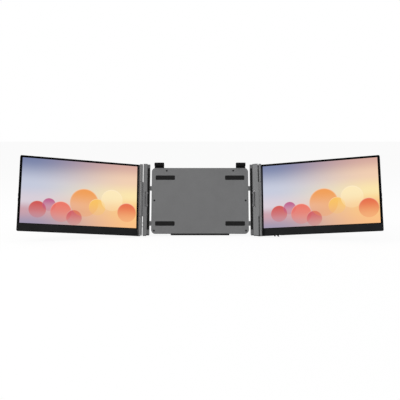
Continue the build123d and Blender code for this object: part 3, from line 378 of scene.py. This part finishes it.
# %% Plastics and rubber
finish(
    "satin_black", (0.0012, 0.0012, 0.0013), 0.44, gloss=0.02, grain=0.0003, bump=0.10,
    worn_and_highlit=(0.004, 0.004, 0.004), dust=0.0, grease=0.30,
)
finish(
    "chin_panel", (0.0108, 0.0112, 0.0120), 0.46, gloss=0.06, grain=0.0004, bump=0.12,
    worn_and_highlit=(0.02, 0.02, 0.021), dust=0.0, grease=0.40,
)
finish(
    "moulded_housing", (0.038, 0.038, 0.040), 0.60, gloss=0.25, grain=0.0006, bump=0.35,
    uneven=0.9, worn_and_highlit=(0.09, 0.09, 0.092), dust=0.08, grease=0.25,
)
finish(
    "nylon_black", (0.0030, 0.0030, 0.0032), 0.52, gloss=0.08, grain=0.0004, bump=0.25,
    worn_and_highlit=(0.02, 0.02, 0.021), worn_amount=0.5, dust=0.0,
)
finish(
    "rubber", (0.0085, 0.0085, 0.0085), 0.75, gloss=0.15, grain=0.0005, bump=0.30,
    mottle=0.2, worn_and_highlit=(0.03, 0.03, 0.03), dust=0.06, grease=0.1,
)
finish(
    "button_cap", (0.009, 0.009, 0.010), 0.36, gloss=0.25, grain=0.0003, bump=0.10,
    worn_and_highlit=(0.04, 0.04, 0.041), worn_amount=0.7, dust=0.02, grease=0.5,
)
print("all finishes:", len(materials))

# %% [markdown]
# ## Circuit board
#
# A board is fibreglass under green lacquer, with copper tracks that show through as a
# slightly lighter green. It could be drawn track by track, but it is hidden inside, and only
# glimpsed through the cooling slots, so a plain brick pattern is enough.

# %% Circuit board
def board_material():
    """Green lacquer over a brick pattern of tracks."""
    made, tree, shader = new_material("lacquered_board")
    place = object_place(tree)
    tracks = add(tree, "TexBrick", {
        "Vector": place, "Scale": 160.0, "Mortar Size": 0.05,
        "Color1": (0.006, 0.07, 0.025, 1), "Color2": (0.009, 0.10, 0.035, 1),
        "Mortar": (0.03, 0.17, 0.07, 1),
    })
    surface = use(tree, grain_group, {"Position": place, "Size": 0.0006, "Unevenness": 0.4})
    feed(tree, tracks.outputs["Color"], shader.inputs["Base Color"])
    feed(
        tree, remap(tree, surface["Patches"], 0.3, 0.7, 0.28, 0.40), shader.inputs["Roughness"],
    )
    bumped = add(tree, "Bump", {"Height": tracks.outputs["Fac"], "Strength": 0.3})
    feed(tree, bumped.outputs[0], shader.inputs["Normal"])
    materials[made.name] = made


board_material()
print("board made")

# %% [markdown]
# ## The picture on the screens
#
# A lit panel shines by itself, so its picture is emission and takes no light from the room.
# The picture could be an image file, but a few nodes do: a soft sky that runs from violet
# at the left to peach at the right, and large translucent discs of light that overlap in the
# lower half. A disc is a group: it measures the distance from its centre, fills what is
# inside, brighter toward its upper edge, and draws a thin bright rim.

# %% Disc of light group
RIM_COLOUR = (1.0, 0.86, 0.72, 1)

disc_group, entry, leave = shader_group("disc_of_light", {
    "Under": None, "Colour": None, "Across": None, "Up": None,
    "Centre Across": 0.5, "Centre Up": 0.5, "Radius": 0.2,
}, ["Result"])
aside = calc(disc_group, "SUBTRACT", entry["Across"], entry["Centre Across"])
above = calc(disc_group, "SUBTRACT", entry["Up"], entry["Centre Up"])
squares = calc(
    disc_group, "ADD",
    calc(disc_group, "MULTIPLY", aside, aside), calc(disc_group, "MULTIPLY", above, above),
)
away = calc(disc_group, "SQRT", squares)
share = calc(disc_group, "DIVIDE", away, entry["Radius"])
inside = remap(disc_group, share, 1.0, 0.985, smooth=True)
rise = calc(disc_group, "DIVIDE", above, entry["Radius"])
fill = remap(disc_group, rise, -1.1, 0.9, 0.25, 0.92, smooth=True)
filled = mix_colour(
    disc_group, calc(disc_group, "MULTIPLY", inside, fill), entry["Under"], entry["Colour"],
)
near_rim = remap(disc_group, share, 0.90, 1.0, smooth=True)
lit = calc(disc_group, "MULTIPLY", near_rim, inside)
lit = calc(disc_group, "MULTIPLY", lit, remap(disc_group, rise, -0.2, 1.0, 0.0, 0.55))
feed(disc_group, mix_colour(disc_group, lit, filled, RIM_COLOUR), leave.inputs["Result"])
print("group:", disc_group.name)


# %% Colours of the picture
def shade(red, green, blue):
    """A colour as a screen counts it, 0 to 255, turned into the linear light a node takes."""
    values = [v / 255 for v in (red, green, blue)]
    return [v / 12.92 if v <= 0.04045 else ((v + 0.055) / 1.055) ** 2.4 for v in values] + [1]


VIOLET_SKY = [
    (0.0, shade(160, 150, 175)), (0.2, shade(200, 160, 170)), (0.35, shade(215, 205, 215)),
    (0.6, shade(195, 200, 218)), (1.0, shade(118, 128, 165)),
]
PEACH_SKY = [
    (0.0, shade(250, 190, 130)), (0.3, shade(250, 200, 130)), (0.5, shade(250, 228, 170)),
    (0.75, shade(240, 205, 175)), (1.0, shade(212, 168, 155)),
]
# Each disc's centre across and up, and its radius, in heights of the screen, and its colour.
DISCS = [
    (0.25, 0.22, 0.13, shade(205, 60, 50)),
    (0.42, 0.30, 0.10, shade(185, 75, 130)),
    (0.60, 0.20, 0.16, shade(235, 105, 85)),
    (0.80, 0.12, 0.12, shade(205, 85, 95)),
    (0.95, 0.36, 0.22, shade(240, 150, 60)),
    (1.15, 0.30, 0.13, shade(248, 195, 95)),
    (1.38, 0.42, 0.17, shade(252, 232, 185)),
    (1.62, 0.24, 0.15, shade(228, 96, 60)),
]


def ramp(tree, value, stops):
    """Runs through colours at given places between 0 and 1."""
    node = add(tree, "ValToRGB", {"Fac": value})
    node.color_ramp.interpolation = "EASE"
    points = node.color_ramp.elements
    while len(points) < len(stops):
        points.new(0.5)
    for point, (place, colour) in zip(points, stops):
        point.position = place
        point.color = colour
    return node.outputs[0]


# %% Lit panel
GLASS_MARGIN = 0.002  # how far the glass runs under the front frame


def lit_panel(side):
    """The material of one screen, with the picture laid along its own edges."""
    glass = side + "_screen_glass"
    left_edge, right_edge = reach(glass, ALONG[side])
    low_edge, high_edge = reach(glass, UP_FRAME)
    wide = right_edge - left_edge - 2 * GLASS_MARGIN
    high = high_edge - low_edge - 2 * GLASS_MARGIN
    made, tree, shader = new_material(side + "_lit_panel")
    place = object_place(tree)
    across = calc(tree, "SUBTRACT", along(tree, place, ALONG[side]), left_edge + GLASS_MARGIN)
    across = calc(tree, "DIVIDE", across, high)
    up = calc(tree, "SUBTRACT", along(tree, place, UP_FRAME), low_edge + GLASS_MARGIN)
    up = calc(tree, "DIVIDE", up, high)
    sideways = remap(tree, across, 0.1, wide / high, smooth=True)
    picture = mix_colour(tree, sideways, ramp(tree, up, VIOLET_SKY), ramp(tree, up, PEACH_SKY))
    for centre, level, radius, colour in DISCS:
        picture = use(tree, disc_group, {
            "Under": picture, "Colour": colour, "Across": across, "Up": up,
            "Centre Across": centre, "Centre Up": level, "Radius": radius,
        })["Result"]
    feed(tree, picture, shader.inputs["Emission Color"])
    shader.inputs["Emission Strength"].default_value = 1.0
    shader.inputs["Base Color"].default_value = (0.004, 0.004, 0.005, 1)
    surface = use(tree, grain_group, {"Position": place, "Size": 0.0003, "Unevenness": 0.4})
    feed(
        tree, remap(tree, surface["Patches"], 0.3, 0.7, 0.22, 0.30), shader.inputs["Roughness"],
    )
    shader.inputs["Specular IOR Level"].default_value = 0.12
    materials[made.name] = made
    print(made.name, "lit area", round(wide, 4), "by", round(high, 4))


for side in SIDES:
    lit_panel(side)

# %% [markdown]
# ## Dressing the solids
#
# Most solids keep their shape, so a finish is all that they need. A table says which finish
# each one takes, by its name without its side.

# %% Give every solid its finish
FINISHES = {
    "front_plate": "anodised_grey", "rear_housing": "moulded_housing", "lid_pads": "rubber",
    "housing_screws": "black_oxide", "rail_stop_pins": "turned_steel",
    "clip_leaf_springs": "rolled_steel", "table_strip": "rubber",
    "kickstand_pin": "turned_steel", "kickstand_leg": "anodised_grey",
    "kickstand_rubber": "rubber", "column": "anodised_grey", "column_foot": "rubber",
    "rails": "anodised_grey", "rail_screws": "black_oxide", "lid_edge_pad": "rubber",
    "hinge_pin": "turned_steel", "hinge_washers": "black_oxide",
    "side_hook_pin": "turned_steel", "side_hook": "cast_grey", "side_hook_pads": "rubber",
    "top_clip": "nylon_black", "top_clip_pad": "rubber", "rear_shell": "painted_back",
    "front_frame": "satin_black", "chin_inlay": "chin_panel", "backlight": "rolled_steel",
    "driver_board": "lacquered_board", "ports": "turned_steel",
    "hinge_strip": "anodised_grey", "monitor_screws": "black_oxide",
    "power_button": "button_cap", "menu_button": "button_cap", "support_foot": "nylon_black",
    "support_foot_pin": "turned_steel",
}


def dress(piece, material):
    """Gives a piece one material all over."""
    piece.data.materials.clear()
    piece.data.materials.append(material)


def without_side(name):
    """The name of a node without the side that it is on."""
    return name.removeprefix("left_").removeprefix("right_")


for name, piece in nodes.items():
    plain_name = without_side(name)
    if plain_name == "screen_glass":
        dress(piece, materials[name.removesuffix("_screen_glass") + "_lit_panel"])
    else:
        dress(piece, materials[FINISHES[plain_name]])
print("dressed", len(nodes), "solids")

# %% [markdown]
# ## Helpers for pieces that are made here
#
# The solids that can't stay are measured first, so that what replaces them sits in the same
# place. A node may hold several separate solids, such as nine screws. They could be told
# apart by typing in their places, but walking from point to point along the edges of the
# merged mesh finds them, whatever the part's sizes are.

# %% Separate solids of a node
MERGE = 1e-5  # points nearer than a hundredth of a millimetre are one point


def merged(node):
    """A copy of a solid's loose triangles, with their points joined up."""
    shape = bmesh.new()
    shape.from_mesh(nodes[node].data)
    bmesh.ops.remove_doubles(shape, verts=shape.verts, dist=MERGE)
    return shape


def islands(node):
    """The separate solids of one node, each as a list of its points."""
    shape = merged(node)
    seen, found = set(), []
    for start in shape.verts:
        if start in seen:
            continue
        seen.add(start)
        waiting, points = [start], []
        while waiting:
            point = waiting.pop()
            points.append(point.co.copy())
            for other in (edge.other_vert(point) for edge in point.link_edges):
                if other not in seen:
                    seen.add(other)
                    waiting.append(other)
        found.append(points)
    shape.free()
    return found


print("screws in one monitor:", len(islands("left_monitor_screws")))


# %% Local frames
def axes_from(up, out):
    """A turned frame as a matrix: Z is the outward direction, Y is up and X is across."""
    up, out = up.normalized(), out.normalized()
    return Matrix((up.cross(out), up, out)).transposed()


def spans(points, axes):
    """The lowest and highest value of some points along each axis of a frame."""
    turned = [axes.transposed() @ point for point in points]
    return [(min(p[i] for p in turned), max(p[i] for p in turned)) for i in range(3)]


# %% A finished piece
def settle(name, mesh, like, material, replaces=True):
    """Makes a mesh a piece that rides where a node rides, and that may replace it."""
    mesh.materials.clear()
    mesh.materials.append(materials[material])
    piece = bpy.data.objects.new(name, mesh)
    bpy.context.scene.collection.objects.link(piece)
    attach(piece, nodes[like]["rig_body"])
    if replaces:
        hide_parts(like)


# %% [markdown]
# ## Geometry Nodes: bars along rows, and screws
#
# Ribs and contacts are the same thing: one small bar, repeated at a pitch along a row. A
# loop could copy the bar, but a Geometry Nodes tree says the rule once, with named inputs
# for its sizes. The object that carries the tree is only a few edges, one for each row. The
# tree turns each edge into points at the pitch and puts a bar on every point.

# %% Helpers for geometry trees
def geometry_tree(name, inputs):
    """A new geometry tree with named inputs after its geometry."""
    tree = bpy.data.node_groups.new(name, "GeometryNodeTree")
    tree.interface.new_socket("Geometry", in_out="INPUT", socket_type="NodeSocketGeometry")
    for title, kind in inputs.items():
        tree.interface.new_socket(title, in_out="INPUT", socket_type="NodeSocket" + kind)
    tree.interface.new_socket("Geometry", in_out="OUTPUT", socket_type="NodeSocketGeometry")
    return tree, tree.nodes.new("NodeGroupInput").outputs, tree.nodes.new("NodeGroupOutput")


def lay(tree, kind, sockets=None, **settings):
    """Adds a geometry node. Sockets are filled by name or by number."""
    node = tree.nodes.new("GeometryNode" + kind)
    for name, value in settings.items():
        setattr(node, name, value)
    for name, value in (sockets or {}).items():
        feed(tree, value, node.inputs[name])
    return node


def vector(tree, x, y, z):
    """Three numbers as one vector."""
    return add(tree, "CombineXYZ", {"X": x, "Y": y, "Z": z}).outputs[0]


def deliver(tree, geometry, material, leave):
    """Ends a tree: real geometry in place of instances, with its material."""
    real = lay(tree, "RealizeInstances", {0: geometry}).outputs[0]
    done = lay(tree, "SetMaterial", {"Geometry": real, "Material": material}).outputs[0]
    feed(tree, done, leave.inputs[0])


# %% Bars along rows
bars_tree, entry, leave = geometry_tree("bars_along_rows", {
    "Pitch": "Float", "Bar Length": "Float", "Bar Width": "Float", "Bar Height": "Float",
    "Material": "Material",
})
rows = lay(bars_tree, "MeshToCurve", {"Mesh": entry["Geometry"]}).outputs[0]
stops = lay(
    bars_tree, "ResampleCurve", {"Curve": rows, "Length": entry["Pitch"]}, mode="LENGTH",
).outputs[0]
rod = lay(bars_tree, "MeshCylinder", {"Vertices": 8, "Radius": 0.5, "Depth": 1.0})
rounded = lay(
    bars_tree, "SetShadeSmooth", {"Geometry": rod.outputs["Mesh"], 1: rod.outputs["Side"]},
).outputs[0]
bar = lay(bars_tree, "Transform", {
    "Geometry": rounded, "Rotation": (math.pi / 2, 0, 0),
    "Scale": vector(bars_tree, entry["Bar Width"], entry["Bar Height"], entry["Bar Length"]),
}).outputs[0]
placed = lay(bars_tree, "InstanceOnPoints", {"Points": stops, "Instance": bar}).outputs[0]
deliver(bars_tree, placed, entry["Material"], leave)
print("tree:", bars_tree.name)

# %% [markdown]
# The screws all have a flat head with a small bevel and a cross recess. The head could be
# turned on a lathe, profile by profile. Here it is a disc whose top face is extruded a
# little and shrunk, which leaves the bevel, and two crossed blocks are cut out of it. Every
# screw is turned by a random angle with a fixed seed, because nobody lines them up.

# %% Cross-recess screw
screw_tree, entry, leave = geometry_tree("cross_recess_screws", {
    "Head Radius": "Float", "Head Height": "Float", "Shank Radius": "Float", "Length": "Float",
    "Bevel": "Float", "Seed": "Int", "Material": "Material",
})
flat_part = calc(screw_tree, "SUBTRACT", entry["Head Height"], entry["Bevel"])
disc = lay(
    screw_tree, "MeshCylinder",
    {"Vertices": 28, "Radius": entry["Head Radius"], "Depth": flat_part},
)
raised = lay(screw_tree, "ExtrudeMesh", {
    "Mesh": disc.outputs["Mesh"], "Selection": disc.outputs["Top"],
    "Offset Scale": entry["Bevel"], "Individual": False,
})
shrink = calc(
    screw_tree, "SUBTRACT", 1.0,
    calc(screw_tree, "DIVIDE", entry["Bevel"], entry["Head Radius"]),
)
bevelled = lay(screw_tree, "ScaleElements", {
    "Geometry": raised.outputs["Mesh"], "Selection": raised.outputs["Top"], "Scale": shrink,
}).outputs[0]
sunk = calc(
    screw_tree, "MULTIPLY_ADD", flat_part, -0.5,
    calc(screw_tree, "MULTIPLY", entry["Bevel"], -1.0),
)
head = lay(
    screw_tree, "Transform",
    {"Geometry": bevelled, "Translation": vector(screw_tree, 0.0, 0.0, sunk)},
).outputs[0]

# %% Recess, shank and turning
CROSS_LONG, CROSS_WIDE = 1.25, 0.26  # shares of the head's radius
CROSS_DEEP = 1.2  # share of the head's height, of which half is above the head

recess_long = calc(screw_tree, "MULTIPLY", entry["Head Radius"], CROSS_LONG)
recess_wide = calc(screw_tree, "MULTIPLY", entry["Head Radius"], CROSS_WIDE)
recess_deep = calc(screw_tree, "MULTIPLY", entry["Head Height"], CROSS_DEEP)
cut = lay(screw_tree, "MeshBoolean", {"Mesh 1": head}, operation="DIFFERENCE")
for size in ((recess_long, recess_wide), (recess_wide, recess_long)):
    block = lay(screw_tree, "MeshCube", {"Size": vector(screw_tree, *size, recess_deep)})
    screw_tree.links.new(block.outputs["Mesh"], cut.inputs["Mesh 2"])
shank_length = calc(screw_tree, "SUBTRACT", entry["Length"], entry["Head Height"])
shank = lay(
    screw_tree, "MeshCylinder",
    {"Vertices": 16, "Radius": entry["Shank Radius"], "Depth": shank_length},
).outputs["Mesh"]
middle = calc(
    screw_tree, "MULTIPLY_ADD", shank_length, -0.5,
    calc(screw_tree, "MULTIPLY", entry["Head Height"], -1.0),
)
shank = lay(
    screw_tree, "Transform",
    {"Geometry": shank, "Translation": vector(screw_tree, 0.0, 0.0, middle)},
).outputs[0]
screw = lay(screw_tree, "JoinGeometry", {0: shank})
screw_tree.links.new(cut.outputs["Mesh"], screw.inputs[0])
turn = screw_tree.nodes.new("FunctionNodeRandomValue")
turn.data_type = "FLOAT"
feed(screw_tree, 2 * math.pi, turn.inputs[3])  # the highest angle; the lowest stays 0
feed(screw_tree, entry["Seed"], turn.inputs["Seed"])
placed = lay(screw_tree, "InstanceOnPoints", {
    "Points": entry["Geometry"], "Instance": screw.outputs[0],
    "Rotation": vector(screw_tree, 0.0, 0.0, turn.outputs[1]),
}).outputs[0]
deliver(screw_tree, placed, entry["Material"], leave)
print("tree:", screw_tree.name)


# %% Running a tree
def grow(tree, axes, points, edges, **values):
    """Runs a tree on points or rows drawn in a turned frame, and gives a plain mesh."""
    mesh = bpy.data.meshes.new(tree.name)
    mesh.from_pydata(points, edges, [])
    carrier = bpy.data.objects.new(tree.name, mesh)
    bpy.context.scene.collection.objects.link(carrier)
    modifier = carrier.modifiers.new(tree.name, "NODES")
    modifier.node_group = tree
    for socket in tree.interface.items_tree:
        title = socket.name.lower().replace(" ", "_")
        if socket.in_out == "INPUT" and title in values:
            modifier[socket.identifier] = values[title]
    evaluated = carrier.evaluated_get(bpy.context.evaluated_depsgraph_get())
    grown = bpy.data.meshes.new_from_object(evaluated)
    bpy.data.objects.remove(carrier)
    grown.transform(axes.to_4x4())
    return grown


# %% [markdown]
# ## Screws
#
# Six screws hold the front plate, two hold the rails of each arm and nine hold each monitor
# together. Each one is measured on its solid: where its head is, how wide and deep the head
# is, and how long and thick the shank is. Then the tree makes the real shape there.

# %% Measure a screw
HEAD_SHARE = 0.95  # points beyond this share of the widest radius belong to the head


def measure_screw(points, axis):
    """One screw along its own axis: which way its head faces, and its place and sizes."""
    axes = axes_from(UP_FRAME, axis)
    across, upward, _ = spans(points, axes)
    middle = [sum(across) / 2, sum(upward) / 2]
    turned = [axes.transposed() @ point for point in points]
    rings = [(math.hypot(p[0] - middle[0], p[1] - middle[1]), p[2]) for p in turned]
    radius = max(ring[0] for ring in rings)
    head = [level for away, level in rings if away > HEAD_SHARE * radius]
    far = max(level for _, level in rings)
    if max(head) < far - MERGE:
        return measure_screw(points, -axis)
    depth = max(head) - min(head)
    shank = max(away for away, level in rings if level < min(head) - MERGE)
    length = far - min(level for _, level in rings)
    place = axes @ Vector((*middle, far))
    return axis, place, {
        "head_radius": radius, "head_height": depth, "shank_radius": shank, "length": length,
    }


# %% Make the screws
BEVEL_SHARE = 0.25  # share of the head's height
SCREW_AXES = {
    "housing_screws": FORWARD_FRAME,
    "left_rail_screws": RIGHTWARD, "right_rail_screws": RIGHTWARD,
    "left_monitor_screws": FORWARD["left"], "right_monitor_screws": FORWARD["right"],
}
for seed, (node, axis) in enumerate(SCREW_AXES.items()):
    measured = [measure_screw(points, axis) for points in islands(node)]
    for way in (axis, -axis):
        same = [(place, sizes) for found, place, sizes in measured if found == way]
        if not same:
            continue
        axes = axes_from(UP_FRAME, way)
        spots = [axes.transposed() @ place for place, _ in same]
        sizes = same[0][1]
        mesh = grow(
            screw_tree, axes, spots, [], bevel=sizes["head_height"] * BEVEL_SHARE, seed=seed,
            material=materials["black_oxide"], **sizes,
        )
        name = node + ("_front" if way == axis else "_back")
        settle(name, mesh, node, "black_oxide")
        print(name, len(spots), "screws, head", round(sizes["head_radius"] * 2000, 2), "mm")

# %% [markdown]
# ## Rubber pads
#
# What is meant to touch the laptop's lid or the table is rubber: four pads and two long
# strips behind the lid, thin pads in the hooks and clips, a strip under the housing, and the
# feet of the columns and of the kickstand. Only the support foot is nylon. Moulded rubber
# has no sharp edge, and a face that grips has fine ribs. The pad could be modelled afresh,
# but its outline is right already, so a copy of the solid is merged, its working face is set
# back by the height of the ribs, and its edges are rounded. The ribs then come from the
# tree, up to where the plain face was.

# %% A softened copy of a solid
FLAT_ANGLE = math.radians(2)  # faces that turn by less are one face
SHARP_ANGLE = math.radians(35)  # edges that turn by more are rounded


def softened(node, facing, sink, rounding):
    """A solid as moulded rubber: its working face set back, and all its edges rounded."""
    shape = merged(node)
    bmesh.ops.dissolve_limit(
        shape, angle_limit=FLAT_ANGLE, verts=shape.verts, edges=shape.edges,
    )
    levels = [vertex.co.dot(facing) for vertex in shape.verts]
    halfway = (min(levels) + max(levels)) / 2
    for vertex, level in zip(shape.verts, levels):
        if level > halfway:
            vertex.co -= facing * sink
    sharp = [edge for edge in shape.edges if edge.calc_face_angle(0) > SHARP_ANGLE]
    bmesh.ops.bevel(
        shape, geom=sharp, offset=rounding, segments=3, profile=0.5, affect="EDGES",
    )
    for face in shape.faces:
        face.smooth = True
    mesh = bpy.data.meshes.new(node)
    shape.to_mesh(mesh)
    shape.free()
    return mesh


def joined(first, second):
    """Two meshes as one."""
    shape = bmesh.new()
    shape.from_mesh(first)
    shape.from_mesh(second)
    shape.to_mesh(first)
    shape.free()
    return first


# %% Ribs on a face
def rib_rows(node, axes, pitch, width, height, margin):
    """A row of ribs across each separate solid of a node, level with its working face."""
    points, edges, length = [], [], 0
    for solid in islands(node):
        (x0, x1), (y0, y1), (_, top) = spans(solid, axes)
        level = top - height / 2
        edges.append((len(points), len(points) + 1))
        points += [(x0 + margin, (y0 + y1) / 2, level), (x1 - margin, (y0 + y1) / 2, level)]
        length = y1 - y0 - 2 * margin
    return grow(
        bars_tree, axes, points, edges, pitch=pitch, bar_length=length, bar_width=width,
        bar_height=height, material=materials["rubber"],
    )


# %% Make the rubber pieces
BACKWARD_FRAME = -FORWARD_FRAME
RIB_WIDTH = 0.45  # share of the pitch
RIB_HEIGHT = 2  # times the setback, because half of a rib lies in the face
RIB_MARGIN = 3  # times the rounding, kept free at the pad's edges

# For each pad: its up direction, where its working face looks, and in metres the pitch of
# its ribs, how far the face is set back, and the rounding of its edges.
RIBBED = {
    "lid_pads": (UP_FRAME, FORWARD_FRAME, 0.0030, 0.0004, 0.00035),
    "lid_edge_pad": (RIGHTWARD, FORWARD_FRAME, 0.0030, 0.0004, 0.00030),
    "side_hook_pads": (RIGHTWARD, BACKWARD_FRAME, 0.0010, 0.0002, 0.00015),
    "top_clip_pad": (UP_FRAME, BACKWARD_FRAME, 0.0016, 0.0002, 0.00012),
    "table_strip": (UP_FRAME, FORWARD_FRAME, 0.0040, 0.0004, 0.00060),
}
for name in nodes:
    if without_side(name) not in RIBBED:
        continue
    up, facing, pitch, sink, rounding = RIBBED[without_side(name)]
    ribs = rib_rows(
        name, axes_from(up, facing), pitch, width=pitch * RIB_WIDTH, height=sink * RIB_HEIGHT,
        margin=rounding * RIB_MARGIN,
    )
    mesh = joined(softened(name, facing, sink, rounding), ribs)
    settle(name + "_ribbed", mesh, name, "rubber")
    print(name, "faces:", len(mesh.polygons))

# %% Rubber feet, which have no ribs
DOWN = Vector((0, 0, -1))
FOOT_ROUNDING = 0.0006
for name in ("left_column_foot", "right_column_foot", "kickstand_rubber"):
    mesh = softened(name, DOWN, 0.0, FOOT_ROUNDING)
    settle(name + "_moulded", mesh, name, "rubber")
    print(name, "faces:", len(mesh.polygons))

# %% [markdown]
# ## Tongues and contacts in the sockets
#
# Each monitor has three sockets in its outer edge. The bright mouth is the solid's. Inside it
# is a moulded black tongue with a row of gilt contacts on both faces. The tongue could take
# its colour from a mask in the mouth's material, but the contacts need real edges anyway. So
# a thin moulded sleeve covers each tongue, and the bars tree lays the contacts on it.

# %% Gilt finish
finish(
    "gilt", (0.62, 0.42, 0.16), 0.30, metallic=1.0, grain=0.0001, bump=0.05, mottle=0.04,
    edge=0.0001, dust=0.0, grease=0.05,
)
TONGUE_SETBACK = 0.002  # how far the solid's tongue ends behind its mouth
TONGUE_THICK = 0.0007  # the solid's tongue, inside the sleeve
SLEEVE = 0.00006  # the thickness of the sleeve, and the rounding of its edges
SLEEVE_LENGTH = 0.0045
CONTACT_PITCH = 0.0005
CONTACT_LENGTH = 0.0028


# %% One sleeve
def sleeve(shape, axes, middle, sizes):
    """Adds a small rounded block to a shape, at a place and with sizes in a turned frame."""
    place = axes.to_4x4() @ Matrix.Translation(middle) @ Matrix.Diagonal((*sizes, 1))
    corners = bmesh.ops.create_cube(shape, size=1, matrix=place)["verts"]
    edges = {edge for corner in corners for edge in corner.link_edges}
    bmesh.ops.bevel(
        shape, geom=list(edges), offset=SLEEVE, segments=2, profile=0.5, affect="EDGES",
    )


# %% Make the tongues and contacts
for side in SIDES:
    outward = ALONG[side] * (1 if side == "right" else -1)
    axes = axes_from(outward, FORWARD[side])
    shape, points, edges = bmesh.new(), [], []
    for solid in islands(side + "_ports"):
        (x0, x1), (_, mouth), (z0, z1) = spans(solid, axes)
        # A tongue is as wide as the flat part between the rounded ends of its mouth.
        half = (x1 - x0 - (z1 - z0)) / 2
        middle, level, tip = (x0 + x1) / 2, (z0 + z1) / 2, mouth - TONGUE_SETBACK + SLEEVE
        thick = TONGUE_THICK + 2 * SLEEVE
        sizes = (2 * (half + SLEEVE), SLEEVE_LENGTH, thick)
        sleeve(shape, axes, (middle, tip - SLEEVE_LENGTH / 2, level), sizes)
        away = half - CONTACT_PITCH
        for face in (-thick / 2, thick / 2):
            back = tip - SLEEVE - CONTACT_LENGTH / 2
            edges.append((len(points), len(points) + 1))
            points += [(middle - away, back, level + face), (middle + away, back, level + face)]
    mesh = bpy.data.meshes.new(side + "_port_tongues")
    shape.to_mesh(mesh)
    shape.free()
    settle(mesh.name, mesh, side + "_ports", "satin_black", replaces=False)
    mesh = grow(
        bars_tree, axes, points, edges, pitch=CONTACT_PITCH, bar_length=CONTACT_LENGTH,
        bar_width=CONTACT_PITCH / 2, bar_height=SLEEVE, material=materials["gilt"],
    )
    settle(side + "_port_contacts", mesh, side + "_ports", "gilt", replaces=False)
    print(side, "contacts:", len(mesh.polygons), "faces")

# %% [markdown]
# ## Table and light
#
# The object stands on a plain white table before a white background. The table's material
# gives the camera, reflections and glass mostly plain white, and keeps about an eighth of
# real light and shade, so that a soft shadow stays. The world is plain white to the same
# rays. Large soft lamps light the object at a plain level, stronger from the upper left.

# %% White table, level with the lowest point of the object
TABLE_HALF = 30  # half the table's width, in metres
PLAIN_WHITE = 0.88  # share of plain white where the table is seen directly

floor_mesh = bpy.data.meshes.new("table_top")
corners = [
    (-TABLE_HALF, -TABLE_HALF), (TABLE_HALF, -TABLE_HALF),
    (TABLE_HALF, TABLE_HALF), (-TABLE_HALF, TABLE_HALF),
]
floor_mesh.from_pydata([(x, y, cad_low.z) for x, y in corners], [], [(0, 1, 2, 3)])
floor = bpy.data.objects.new("table_top", floor_mesh)
bpy.context.scene.collection.objects.link(floor)


def seen_directly(tree):
    """1 for rays from the camera, and for what metal and glass show, else 0."""
    rays = add(tree, "LightPath").outputs
    seen = calc(tree, "MAXIMUM", rays["Is Camera Ray"], rays["Is Glossy Ray"])
    return calc(tree, "MAXIMUM", seen, rays["Is Transmission Ray"])


def white_table():
    """Mostly plain white where it is seen directly, and matt white to all other rays."""
    made, tree, _ = new_material("white_table")
    tree.nodes.clear()
    matt = add(tree, "BsdfDiffuse", {"Color": (1, 1, 1, 1)})
    glow = add(tree, "Emission", {"Color": (1, 1, 1, 1), "Strength": 1.0})
    share = calc(tree, "MULTIPLY", seen_directly(tree), PLAIN_WHITE)
    both = add(tree, "MixShader", {0: share, 1: matt.outputs[0], 2: glow.outputs[0]})
    feed(tree, both.outputs[0], add(tree, "OutputMaterial").inputs["Surface"])
    return made


dress(floor, white_table())
print("table:", TABLE_HALF * 2, "m wide")

# %% World and lamps
WORLD_LIGHT = 0.64  # the world's strength for rays that don't show it directly
MIDDLE = (0, 0, 0.12)  # what the lamps face
LAMPS = {  # the place, the size and the power of each
    "key_lamp": ((-2.2, -1.8, 1.7), (1.4, 1.2), 30),
    "fill_lamp": ((2.0, -1.6, 1.1), (1.6, 1.2), 8),
    "top_lamp": ((0, 0.6, 2.2), (2.4, 1.2), 12),
}

world = bpy.data.worlds.new("studio")
bpy.context.scene.world = world
world.use_nodes = True
tree = world.node_tree
strength = remap(tree, seen_directly(tree), 0.0, 1.0, WORLD_LIGHT, 1.0)
feed(tree, strength, tree.nodes["Background"].inputs["Strength"])
tree.nodes["Background"].inputs["Color"].default_value = (1, 1, 1, 1)
for name, (place, size, power) in LAMPS.items():
    data = bpy.data.lights.new(name, "AREA")
    data.shape = "RECTANGLE"
    data.size, data.size_y = size
    data.energy = power
    lamp = bpy.data.objects.new(name, data)
    lamp.location = place
    lamp.rotation_euler = (Vector(MIDDLE) - Vector(place)).to_track_quat("-Z", "Y").to_euler()
    bpy.context.scene.collection.objects.link(lamp)
bpy.context.scene.view_settings.view_transform = "Standard"
